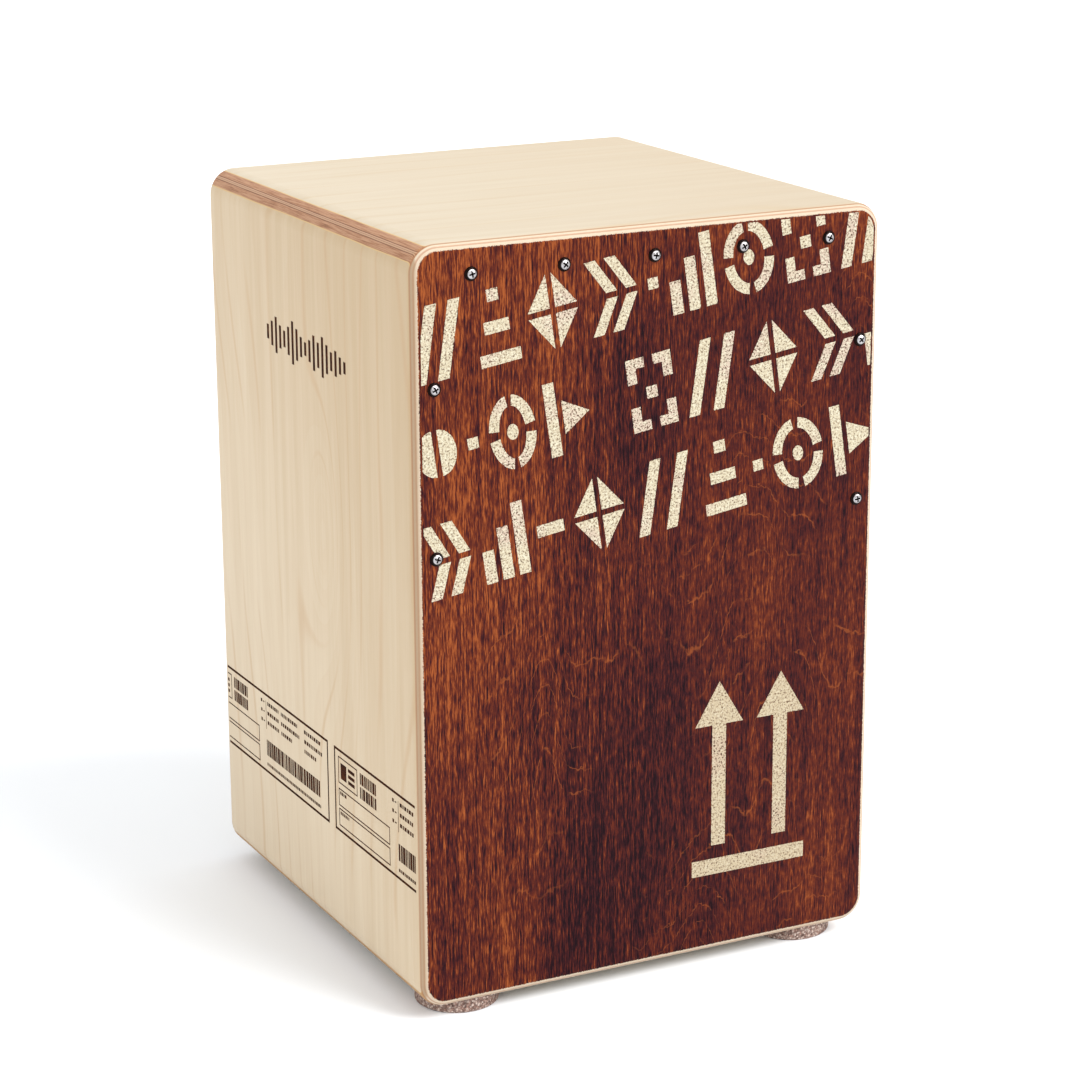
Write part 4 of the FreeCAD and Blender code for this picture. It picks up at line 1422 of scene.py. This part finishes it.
@dataclass(frozen=True)
class Stencil:
    """Cuts the figures of one stencil: their height, the width of a stroke and of the bridges."""

    height: float = 43 * MM
    stroke: float = 7 * MM
    bridge: float = 3.4 * MM

    def cut(self, mark: Mark, width: float) -> list[Outline]:
        """Return a figure's outlines from its own lower left corner.

        Args:
            mark: the figure.
            width: its width.

        Returns:
            Its closed outlines.
        """
        makers = {
            Mark.TALLY: self.tally,
            Mark.HATCH: self.hatch,
            Mark.CHEVRONS: self.chevrons,
            Mark.DIAMOND: self.diamond,
            Mark.CORNERS: self.corners,
            Mark.STEPS: self.steps,
            Mark.TARGET: self.target,
            Mark.WEDGE: self.wedge,
            Mark.HALVES: self.halves,
            Mark.DASH: self.dash,
            Mark.DOT: self.dot,
        }
        return makers[mark](width) if mark in makers else []

    def tally(self, width: float) -> list[Outline]:
        """Three upright bars, each taller than the last."""
        pitch = (width - self.stroke) / 2
        outlines = []
        for k, tall in enumerate((0.45 * self.height, 0.72 * self.height, self.height)):
            outlines.append(box_outline(k * pitch, 0, k * pitch + self.stroke, tall))
        return outlines

    def hatch(self, width: float) -> list[Outline]:
        """Leaning bars side by side."""
        lean = 0.3 * self.height
        room = width - lean - self.stroke
        gaps = max(1, math.floor(room / (1.9 * self.stroke)))
        outlines = []
        for k in range(gaps + 1):
            left = k * room / gaps
            outlines.append(leaning(left, 0, left + lean, self.height, self.stroke))
        return outlines

    def chevrons(self, width: float) -> list[Outline]:
        """Nested chevrons that point to the right, split at their tips."""
        middle, gap = self.height / 2, self.bridge / 2
        reach = width - 2.8 * self.stroke
        outlines = []
        for left in (0.0, 1.8 * self.stroke):
            tip = left + reach
            outlines.append(leaning(tip, middle + gap, left, self.height, self.stroke))
            outlines.append(leaning(left, 0, tip, middle - gap, self.stroke))
        return outlines

    def diamond(self, width: float) -> list[Outline]:
        """A diamond in four quarters, with bridges between them."""
        half, middle, gap = width / 2, self.height / 2, self.bridge / 2
        return [
            [(0.0, middle + gap), (half - gap, middle + gap), (half - gap, self.height)],
            [(0.0, middle - gap), (half - gap, 0.0), (half - gap, middle - gap)],
            [(half + gap, middle + gap), (width, middle + gap), (half + gap, self.height)],
            [(half + gap, 0.0), (width, middle - gap), (half + gap, middle - gap)],
        ]

    def corners(self, width: float) -> list[Outline]:
        """Four angle pieces that mark a frame's corners, about a dot."""
        arm_u, arm_v = 0.4 * width, 0.34 * self.height
        line = 0.85 * self.stroke
        angle = [(0.0, 0.0), (arm_u, 0.0), (arm_u, line), (line, line), (line, arm_v), (0.0, arm_v)]
        outlines = [angle]
        outlines.append([(width - u, v) for u, v in angle])
        outlines.append([(u, self.height - v) for u, v in angle])
        outlines.append([(width - u, self.height - v) for u, v in angle])
        half, middle, dot = width / 2, self.height / 2, self.stroke / 2
        outlines.append(box_outline(half - dot, middle - dot, half + dot, middle + dot))
        return outlines

    def steps(self, width: float) -> list[Outline]:
        """Three level bars in a pile, each shorter than the one below."""
        rise = (self.height - self.stroke) / 2
        insets = (0.0, 0.19 * width, 0.36 * width)
        return [box_outline(u, k * rise, width - u, k * rise + self.stroke) for k, u in enumerate(insets)]

    def target(self, width: float) -> list[Outline]:
        """A ring of four arcs about a dot."""
        half, middle = width / 2, self.height / 2
        outlines = [
            arc_outline(half, middle, half, middle, 0.9 * self.stroke, turn + 8, turn + 82)
            for turn in (0, 90, 180, 270)
        ]
        outlines.append(disc_outline(half, middle, 0.5 * self.stroke, 0.65 * self.stroke, 0, 342))
        return outlines

    def wedge(self, width: float) -> list[Outline]:
        """A bar, a bridge and a wedge half as high that points to the right."""
        middle = self.height / 2
        left = self.stroke + self.bridge
        bar = box_outline(0, 0, self.stroke, self.height)
        return [bar, [(left, 0.27 * self.height), (width, middle), (left, 0.73 * self.height)]]

    def halves(self, width: float) -> list[Outline]:
        """Two half discs back to back."""
        half, middle, gap = width / 2, self.height / 2, self.bridge / 2
        radius = half - gap
        return [
            disc_outline(half - gap, middle, radius, 0.62 * middle, 90, 270),
            disc_outline(half + gap, middle, radius, 0.62 * middle, -90, 90),
        ]

    def dash(self, width: float) -> list[Outline]:
        """A level bar at half height."""
        middle = self.height / 2
        return [box_outline(0, middle - self.stroke / 2, width, middle + self.stroke / 2)]

    def dot(self, width: float) -> list[Outline]:
        """A square dot at half height."""
        middle = self.height / 2
        return [box_outline(0, middle - width / 2, width, middle + width / 2)]


class Face(Enum):
    """A face of the box that carries marks."""

    PLAYING = "front"
    LEFT = "left"

    @property
    def normal(self) -> tuple[float, float, float]:
        """The face's outward normal."""
        return (0.0, -1.0, 0.0) if self is Face.PLAYING else (-1.0, 0.0, 0.0)

    def point(self, u: float, v: float) -> Vector:
        """Turn the face's own coordinates, right and up as it is looked at, into a row place.

        Args:
            u: distance to the right of the face's middle.
            v: height above the floor.

        Returns:
            The place, sunk a hair's breadth into the wood.
        """
        sunk = 0.02 * MM
        if self is Face.PLAYING:
            return Vector((u, BOX.front + sunk, v))
        return Vector((-BOX.half_width + sunk, -u, v))


@dataclass
class PlayingPanelMarks:
    """The stencilled rows and the two handling arrows on the playing panel."""

    slope: float = 8.5
    row_start: float = -10 * MM
    baselines: tuple[float, ...] = (398 * MM, 336 * MM, 274 * MM)
    gap: float = 7 * MM
    side_room: float = 5.4 * MM
    level_room: float = 5.0 * MM
    corner: float = 11 * MM
    arrow_tips: tuple[float, ...] = (45.25 * MM, 87.25 * MM)
    arrow_top: float = 179.25 * MM
    arrow_neck: float = 152.5 * MM
    arrow_foot: float = 76.75 * MM
    arrow_width: float = 32.5 * MM
    shaft_width: float = 9.4 * MM
    bar: tuple[float, float, float, float] = (27.5 * MM, 58.25 * MM, 105 * MM, 68.25 * MM)
    stencil: Stencil = field(default_factory=Stencil)
    press: MarkPress = field(default_factory=lambda: MarkPress(0.09 * MM, 0.28 * MM, 0.9 * MM))
    rows: tuple[tuple[float, tuple[tuple[Mark, float], ...]], ...] = (
        (
            -150 * MM,
            (
                (Mark.HATCH, 34 * MM),
                (Mark.STEPS, 25 * MM),
                (Mark.DIAMOND, 31 * MM),
                (Mark.CHEVRONS, 31 * MM),
                (Mark.DOT, 6.5 * MM),
                (Mark.TALLY, 29 * MM),
                (Mark.TARGET, 33 * MM),
                (Mark.CORNERS, 29 * MM),
                (Mark.HATCH, 34 * MM),
            ),
        ),
        (
            -146 * MM,
            (
                (Mark.HALVES, 24 * MM),
                (Mark.DOT, 6.5 * MM),
                (Mark.TARGET, 29 * MM),
                (Mark.WEDGE, 27 * MM),
                (Mark.SPACE, 12 * MM),
                (Mark.CORNERS, 29 * MM),
                (Mark.HATCH, 36 * MM),
                (Mark.DIAMOND, 32 * MM),
                (Mark.CHEVRONS, 32 * MM),
                (Mark.TALLY, 28 * MM),
            ),
        ),
        (
            -142 * MM,
            (
                (Mark.CHEVRONS, 28 * MM),
                (Mark.TALLY, 28 * MM),
                (Mark.DASH, 17 * MM),
                (Mark.DIAMOND, 32 * MM),
                (Mark.HATCH, 38 * MM),
                (Mark.STEPS, 27 * MM),
                (Mark.DOT, 6.5 * MM),
                (Mark.TARGET, 34 * MM),
                (Mark.WEDGE, 30 * MM),
            ),
        ),
    )

    def placed(self, outline: Outline, start: float, baseline: float) -> Outline:
        """Turn an outline with the row's slope.

        Args:
            outline: the outline in the row's own coordinates.
            start: where the outline's figure starts along the row.
            baseline: height of the row's line at its reference point.

        Returns:
            The outline on the face.
        """
        cosine, sine = math.cos(math.radians(self.slope)), math.sin(math.radians(self.slope))
        turned = []
        for u, v in outline:
            along = u + start - self.row_start
            turned_u = self.row_start + along * cosine - v * sine
            turned.append((turned_u, baseline + along * sine + v * cosine))
        return turned

    def stained_border(self) -> Outline:
        """Return the border of the stained face, which the marks end at."""
        half_u = BOX.half_width - self.side_room
        half_v = BOX.half_height - self.level_room
        return rounded_outline(
            -half_u, BOX.middle_height - half_v, half_u, BOX.middle_height + half_v, self.corner
        )

    def row_outlines(self) -> list[Outline]:
        """Return the outlines of the three sloping rows."""
        outlines = []
        border = self.stained_border()
        for baseline, (start, marks) in zip(self.baselines, self.rows):
            left = start
            for mark, width in marks:
                for outline in self.stencil.cut(mark, width):
                    outlines.append(clipped(self.placed(outline, left, baseline), border))
                left += width + self.gap
        return [outline for outline in outlines if len(outline) > 2]

    def arrow_outlines(self) -> list[Outline]:
        """Return the outlines of the two upright arrows and the bar under them."""
        outlines = [box_outline(*self.bar)]
        for middle in self.arrow_tips:
            half, shaft = self.arrow_width / 2, self.shaft_width / 2
            outlines.append(
                [
                    (middle - shaft, self.arrow_foot),
                    (middle + shaft, self.arrow_foot),
                    (middle + shaft, self.arrow_neck),
                    (middle + half, self.arrow_neck),
                    (middle, self.arrow_top),
                    (middle - half, self.arrow_neck),
                    (middle - shaft, self.arrow_neck),
                ]
            )
        return outlines

    def build(self, finish: bpy.types.Material) -> None:
        """Make both pieces.

        Args:
            finish: the stencil paint.
        """
        marks = {"stencil_rows": self.row_outlines(), "stencil_arrows": self.arrow_outlines()}
        for name, outlines in marks.items():
            piece = self.press.press(name, Face.PLAYING, outlines, finish)
            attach(piece, "cabinet")
            report(piece)


@dataclass
class SideMarks:
    """The burnt pulse mark and the burnt label band on the left side.

    The boxes inside a label are in millimetres: left and right from the label's left edge, and
    low and high from the floor.
    """

    pulse_start: float = -58.5 * MM
    pulse_end: float = 62.5 * MM
    pulse_middle: float = 370 * MM
    pulse_heights: tuple[float, ...] = (
        9, 15, 22, 14, 10, 17, 26, 19, 12, 8, 13, 21, 15, 24, 17, 11, 15, 10, 7,
    )
    band_low: float = 80.75 * MM
    band_high: float = 133.75 * MM
    band_end: float = 144 * MM
    label_width: float = 191 * MM
    label_starts: tuple[float, ...] = (19.5 * MM - label_width, 28.75 * MM)
    first_seed: int = 20
    frame_line: float = 1.6 * MM
    fine_line: float = 0.8 * MM
    tile: Box = (6, 112, 34, 129)
    tile_blocks: tuple[Box, ...] = (
        (9.5, 115.5, 18, 125.5),
        (20.5, 115.5, 30, 117.7),
        (20.5, 119.3, 30, 121.5),
        (20.5, 123.1, 30, 125.3),
    )
    codes: tuple[Box, ...] = ((38, 121.3, 62, 128.5), (38, 112.5, 62, 119.7))
    fields: tuple[Box, ...] = ((6, 97.6, 80, 108.8), (6, 84.8, 80, 96))
    captions: tuple[Box, ...] = ((8, 105, 18, 107), (8, 92.2, 21, 94.2))
    details_start: float = 84 * MM
    details_rule: Box = (8, 110, 8.5, 129)
    print_lines: tuple[Box, ...] = (
        (117, 126.3, 143, 128.7),
        (117, 120, 146, 122.4),
        (117, 113.7, 134, 116.1),
        (154, 126.3, 180, 128.7),
        (154, 120, 183, 122.4),
        (154, 113.7, 172, 116.1),
    )
    long_code: Box = (92, 92.5, 178, 103)
    footer: Box = (92, 85.6, 178, 87.6)
    press: MarkPress = field(default_factory=lambda: MarkPress(0.06 * MM, 0.05 * MM, 0.8 * MM))

    def pulse(self) -> list[Outline]:
        """Return a row of upright bars whose heights rise and fall."""
        count = len(self.pulse_heights)
        pitch = (self.pulse_end - self.pulse_start) / count
        width = 0.5 * pitch
        outlines = []
        for number, height in enumerate(self.pulse_heights):
            left = self.pulse_start + number * pitch
            low = self.pulse_middle - height * MM / 2
            high = self.pulse_middle + height * MM / 2
            outlines.append(box_outline(left, low, left + width, high))
        return outlines

    def placed(self, start: float, box: Box) -> Box:
        """Turn a box inside a label into metres on the face."""
        left, low, right, high = box
        return (start + left * MM, low * MM, start + right * MM, high * MM)

    def filler(self, box: Box, dice: random.Random) -> list[Outline]:
        """Return a line of small blocks of uneven width that stands for a line of print.

        Args:
            box: left, low, right and high of the line.
            dice: gives the widths.

        Returns:
            The blocks' outlines.
        """
        low_u, low_v, high_u, high_v = box
        tall = high_v - low_v
        outlines = []
        left = low_u
        while left < high_u - 0.3 * tall:
            width = min(dice.uniform(0.45, 1.3) * tall, high_u - left)
            outlines.append(box_outline(left, low_v, left + width, high_v))
            left += width + 0.38 * tall
        return outlines

    def bars(self, box: Box, dice: random.Random) -> list[Outline]:
        """Return a block of upright bars of uneven width."""
        low_u, low_v, high_u, high_v = box
        outlines = []
        left = low_u
        while left < high_u - 0.6 * MM:
            width = dice.choice((1.0, 1.5, 2.2, 3.0)) * MM
            outlines.append(box_outline(left, low_v, min(left + width, high_u), high_v))
            left += width + dice.choice((0.6, 0.8, 1.0)) * MM
        return outlines

    def details(self, start: float, dice: random.Random) -> list[Outline]:
        """Return three short lines of print, each with a tick box and a dash, and a fine rule.

        Args:
            start: left end of the tick boxes.
            dice: gives the widths.

        Returns:
            The outlines, which may run past the band's end.
        """
        outlines = [box_outline(*self.placed(start, self.details_rule))]
        end = start + 5.8 * MM
        for level in (126.3 * MM, 120 * MM, 113.7 * MM):
            outlines.append(box_outline(start, level, start + 2.2 * MM, level + 2.2 * MM))
            outlines.append(box_outline(start + 3.6 * MM, level + 0.6 * MM, end, level + 1.4 * MM))
            line = (start + 10.5 * MM, level, start + 29 * MM, level + 2.4 * MM)
            outlines += self.filler(line, dice)
        return outlines

    def label(self, start: float, dice: random.Random) -> list[Outline]:
        """Return the marks inside one label frame.

        Args:
            start: left edge of the label's frame.
            dice: gives the widths of the filler.

        Returns:
            The outlines, which may run past the band's end.
        """
        outlines = frame_outlines(*self.placed(start, self.tile), self.fine_line)
        for box in self.tile_blocks:
            outlines.append(box_outline(*self.placed(start, box)))
        for box in self.codes:
            outlines += self.bars(self.placed(start, box), dice)
        for box in self.fields:
            outlines += frame_outlines(*self.placed(start, box), self.fine_line)
        for box in self.captions:
            outlines += self.filler(self.placed(start, box), dice)
        outlines += self.details(start + self.details_start, dice)
        for box in self.print_lines:
            outlines += self.filler(self.placed(start, box), dice)
        outlines += self.bars(self.placed(start, self.long_code), dice)
        outlines += self.filler(self.placed(start, self.footer), dice)
        return outlines

    def band(self) -> list[Outline]:
        """Return the label band: one label runs off the back edge and one off the front."""
        outlines: list[Outline] = []
        for number, start in enumerate(self.label_starts):
            dice = random.Random(self.first_seed + number)
            end = start + self.label_width
            outlines += frame_outlines(
                start, self.band_low, end, self.band_high, self.frame_line
            )
            outlines += self.label(start, dice)
        border = box_outline(-self.band_end, self.band_low, self.band_end, self.band_high)
        kept = [clipped(outline, border) for outline in outlines]
        return [outline for outline in kept if len(outline) > 2]

    def build(self, finish: bpy.types.Material) -> None:
        """Make both pieces.

        Args:
            finish: the burnt print.
        """
        for name, outlines in (("burnt_pulse", self.pulse()), ("burnt_labels", self.band())):
            piece = self.press.press(name, Face.LEFT, outlines, finish)
            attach(piece, "cabinet")
            report(piece)


# ---------------------------------------------------------------- the snare unit


@dataclass(frozen=True)
class SnareStrip:
    """One strip of wound coils, made by Geometry Nodes."""

    side: str
    count: int = 20
    pitch: float = 3.7 * MM
    wire_radius: float = 0.2 * MM
    turns: float = 84.0

    GROUP = "snare_strip"
    INPUTS = (
        ("Start", "Geometry"),
        ("Coil Radius", "Float"),
        ("Wire Radius", "Float"),
        ("Length", "Float"),
        ("Turns", "Float"),
        ("Pitch", "Float"),
        ("Count", "Int"),
        ("Place", "Vector"),
        ("Finish", "Material"),
    )

    @classmethod
    def tree(cls) -> bpy.types.NodeTree:
        """Return the tree, and build it if this is the first time."""
        known = bpy.data.node_groups.get(cls.GROUP)
        if known is not None:
            return known
        tree = geometry_tree(cls.GROUP, cls.INPUTS, "Coils")
        graph = Graph(tree)
        given = graph.node("NodeGroupInput").outputs
        inputs = {
            "Resolution": 8,
            "Rotations": given["Turns"],
            "Start Radius": given["Coil Radius"],
            "End Radius": given["Coil Radius"],
            "Height": given["Length"],
        }
        spiral = graph.call("GeometryNodeCurveSpiral", inputs).outputs[0]
        inputs = {"Resolution": 4, "Radius": given["Wire Radius"]}
        ring = graph.call("GeometryNodeCurvePrimitiveCircle", inputs).outputs[0]
        inputs = {"Curve": spiral, "Profile Curve": ring, "Fill Caps": True}
        coil = graph.call("GeometryNodeCurveToMesh", inputs).outputs[0]
        inputs = {"Geometry": coil, "Shade Smooth": True}
        smooth = graph.call("GeometryNodeSetShadeSmooth", inputs).outputs[0]
        inputs = {"Count": given["Count"], "Offset": graph.join(given["Pitch"], 0.0, 0.0)}
        row = graph.call("GeometryNodeMeshLine", inputs).outputs[0]
        inputs = {"Points": row, "Instance": smooth}
        coils = graph.call("GeometryNodeInstanceOnPoints", inputs).outputs[0]
        inputs = {"Geometry": coils, "Translation": given["Place"]}
        placed = graph.call("GeometryNodeTransform", inputs).outputs[0]
        give_out(graph, placed, given["Finish"])
        return tree

    def build(self, finish: bpy.types.Material) -> None:
        """Wind the strip in the place of its plain tubes.

        Args:
            finish: the wire's material.
        """
        low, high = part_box(f"snare_coils_{self.side}")
        outer = (high[1] - low[1]) / 2
        settings = {
            "Coil Radius": outer - self.wire_radius,
            "Wire Radius": self.wire_radius,
            "Length": high[2] - low[2] - 2 * self.wire_radius,
            "Turns": self.turns,
            "Pitch": self.pitch,
            "Count": self.count,
            "Place": (low[0] + outer, (low[1] + high[1]) / 2, low[2] + self.wire_radius),
            "Finish": finish,
        }
        start = bpy.data.meshes.new("strip_start")
        piece = made_by_nodes(f"wound_coils_{self.side}", start, self.tree(), settings)
        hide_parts(f"snare_coils_{self.side}")
        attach(piece, "snare_unit")
        report(piece)


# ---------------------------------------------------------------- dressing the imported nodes


Finish = BoxPlywood | PlayingFace | BackPly | PressedGranules | Felt | Metal | PlainWood


@dataclass
class Cabinet:
    """The glued box, its panels, battens, feet and fasteners."""

    side_ply: BoxPlywood = BoxPlywood(
        "side_ply",
        Grain.ALONG_Z,
        swatch(246, 226, 195),
        swatch(220, 193, 154),
        # Warmer towards the front and the top, paler towards the back and the bottom; the paler bottom is
        # painted light that lifts the floor's shade.
        (0.0, -1.8, 2.1),
        knot=(-0.15, -0.022, 0.261),
    )
    level_ply: BoxPlywood = BoxPlywood(
        "seat_ply",
        Grain.ALONG_X,
        swatch(233, 219, 194),
        swatch(220, 199, 168),
        (1.6, 0.0, 0.0),
        ring=swatch(222, 196, 156),
    )
    playing: PlayingFace = PlayingFace()
    back: BackPly = BackPly()
    foot: PressedGranules = PressedGranules()
    felt: Felt = Felt()
    panel_screw: Metal = PanelScrewSteel(
        "panel_screw_steel", swatch(228, 224, 224), swatch(104, 88, 88), 0.12
    )
    screw: Metal = Metal("screw_steel", swatch(206, 206, 208), swatch(120, 116, 112), 0.22)
    washer: Metal = Metal("washer_steel", swatch(200, 200, 202), swatch(132, 128, 122), 0.3)
    level_batten: PlainWood = PlainWood(
        "batten_level", Grain.ALONG_X, swatch(230, 200, 158), swatch(196, 156, 112)
    )
    upright_batten: PlainWood = PlainWood(
        "batten_upright", Grain.ALONG_Z, swatch(230, 200, 158), swatch(196, 156, 112)
    )
    holder: PlainWood = PlainWood(
        "holder_beech", Grain.ALONG_Z, swatch(206, 158, 118), swatch(168, 116, 80), 260.0, 22.0
    )

    def finishes(self) -> tuple[tuple[Finish, tuple[str, ...]], ...]:
        """Return each finish with the nodes that it dresses."""
        return (
            (self.side_ply, ("left_side_panel", "right_side_panel")),
            (self.level_ply, ("seat_panel", "base_panel")),
            (self.playing, ("playing_panel",)),
            (self.back, ("back_panel",)),
            (self.foot, tuple(f"foot_{corner}" for corner in CORNERS)),
            (self.felt, ("holder_felt_left", "holder_felt_right")),
            (self.panel_screw, ("top_row_screws", "side_screws")),
            (
                self.screw,
                ("foot_screws", "snare_holder_screws_left", "snare_holder_screws_right"),
            ),
            (self.washer, ("foot_washers",)),
            (
                self.level_batten,
                ("front_top_batten", "front_bottom_batten", "back_top_batten", "back_bottom_batten"),
            ),
            (
                self.upright_batten,
                ("front_left_batten", "front_right_batten", "back_left_batten", "back_right_batten"),
            ),
            (self.holder, ("snare_holder_left", "snare_holder_right")),
        )

    def build(self) -> None:
        """Dress every node of the cabinet and add its marks."""
        for finish, nodes in self.finishes():
            dress(finish.build(), nodes)
        PlayingPanelMarks().build(StencilPaint().build())
        SideMarks().build(BurntPrint().build())


@dataclass
class SnareUnit:
    """The lift-out bar with its plates, screws and two strips of coils."""

    bar: PlainWood = PlainWood(
        "bar_beech", Grain.ALONG_X, swatch(214, 168, 126), swatch(176, 124, 86), 240.0, 16.0
    )
    plate: Metal = Metal("plate_brass", swatch(214, 178, 104), swatch(150, 112, 60), 0.3, 240.0)
    screw: Metal = Metal(
        "small_screw_steel", swatch(206, 206, 208), swatch(120, 116, 112), 0.24, 900.0
    )
    wire: Metal = Metal("coil_wire", swatch(190, 190, 194), swatch(118, 116, 114), 0.26, 700.0)

    def build(self) -> None:
        """Dress every node of the snare unit and wind its coils."""
        dress(self.bar.build(), ("snare_bar",))
        dress(self.plate.build(), ("snare_end_plate_left", "snare_end_plate_right"))
        dress(self.screw.build(), ("snare_plate_screws_left", "snare_plate_screws_right"))
        wire = self.wire.build()
        for side in ("left", "right"):
            SnareStrip(side).build(wire)


def dress(material: bpy.types.Material, nodes: Iterable[str]) -> None:
    """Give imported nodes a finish.

    Args:
        material: the finish.
        nodes: the nodes' names.
    """
    for name in nodes:
        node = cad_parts[name]
        for slot in node.material_slots:
            slot.material = material
        LOG.info("dressed %s with %s", name, material.name)


def report(piece: bpy.types.Object) -> None:
    """Log a finished piece and its size."""
    LOG.info("made %s: %d faces", piece.name, len(piece.data.polygons))


# ---------------------------------------------------------------- the studio


@dataclass(frozen=True)
class BroadLamp:
    """A far lamp with soft edges."""

    name: str
    strength: float
    breadth: float
    towards: tuple[float, float, float]

    def build(self) -> None:
        """Add the lamp to the scene."""
        lamp = bpy.data.lights.new(self.name, "SUN")
        lamp.energy = self.strength
        lamp.angle = math.radians(self.breadth)
        holder = bpy.data.objects.new(self.name, lamp)
        holder.matrix_world = Vector(self.towards).to_track_quat("Z", "Y").to_matrix().to_4x4()
        bpy.context.scene.collection.objects.link(holder)


@dataclass
class Studio:
    """A pale floor, soft light and the camera."""

    floor_half: float = 14.0
    azimuth: float = -26.97
    elevation: float = 15.98
    roll: float = -0.28
    distance: float = 1.8931
    target: tuple[float, float, float] = (0.00355, 0.0, 0.23323)
    lens: float = 102.0
    ambient: float = 1.1
    white: Rgba = (1.0, 1.0, 1.0, 1.0)
    floor_cool: Rgba = (0.885, 0.91, 0.94, 1.0)
    floor_light: Rgba = (0.905, 0.93, 0.96, 1.0)
    lamps: tuple[BroadLamp, ...] = (
        BroadLamp("main_lamp", 2.85, 34.0, (0.46, -0.68, 0.74)),
        BroadLamp("side_fill", 0.3, 40.0, (-1.0, -0.25, 0.22)),
    )

    def floor_material(self) -> bpy.types.Material:
        """Make the pale floor's finish and return it."""
        surface = Surface("studio_floor", Specular_IOR_Level=0.1)
        graph = surface.graph
        cloud = graph.noise(surface.place, 3.0, 3.0)
        colour = graph.blend(cloud, self.floor_cool, self.floor_light)
        return surface.finish(colour, graph.scaled(cloud, 0.1, 0.8), cloud, 0.1 * MM)

    def lay_floor(self) -> None:
        """Lay the floor under the feet."""
        far = self.floor_half
        mesh = bpy.data.meshes.new("studio_floor")
        corners = [(-far, -far, 0), (far, -far, 0), (far, far, 0), (-far, far, 0)]
        mesh.from_pydata(corners, [], [(0, 1, 2, 3)])
        floor = bpy.data.objects.new("studio_floor", mesh)
        floor.data.materials.append(self.floor_material())
        bpy.context.scene.collection.objects.link(floor)

    def light(self) -> None:
        """Set the soft sky and the broad lamps."""
        world = bpy.data.worlds.new("studio")
        world.use_nodes = True
        background = world.node_tree.nodes["Background"]
        background.inputs["Color"].default_value = self.white
        background.inputs["Strength"].default_value = self.ambient
        bpy.context.scene.world = world
        for lamp in self.lamps:
            lamp.build()

    def set_camera(self) -> None:
        """Place the camera and make it the scene's own."""
        turn, tilt, roll = (math.radians(angle) for angle in (self.azimuth, self.elevation, self.roll))
        level_share = math.cos(tilt)
        back = Vector(
            (math.sin(turn) * level_share, -math.cos(turn) * level_share, math.sin(tilt))
        )
        level = Vector((math.cos(turn), math.sin(turn), 0.0))
        upright = back.cross(level)
        right = level * math.cos(roll) + upright * math.sin(roll)
        up = upright * math.cos(roll) - level * math.sin(roll)
        data = bpy.data.cameras.new("camera")
        data.lens = self.lens
        data.sensor_width = SENSOR_WIDTH
        camera = bpy.data.objects.new("camera", data)
        place = Matrix((right, up, back)).transposed().to_4x4()
        place.translation = Vector(self.target) + back * self.distance
        camera.matrix_world = place
        bpy.context.scene.collection.objects.link(camera)
        bpy.context.scene.camera = camera

    def build(self) -> None:
        """Set up floor, light, camera and a plain colour response."""
        self.lay_floor()
        self.light()
        self.set_camera()
        bpy.context.scene.view_settings.view_transform = "Standard"


def main() -> None:
    """Dress the cabinet and the snare unit, and set up the studio."""
    logging.basicConfig(level=logging.INFO, format="%(name)s: %(message)s")
    Studio().build()
    Cabinet().build()
    SnareUnit().build()


if __name__ == "__main__":
    main()
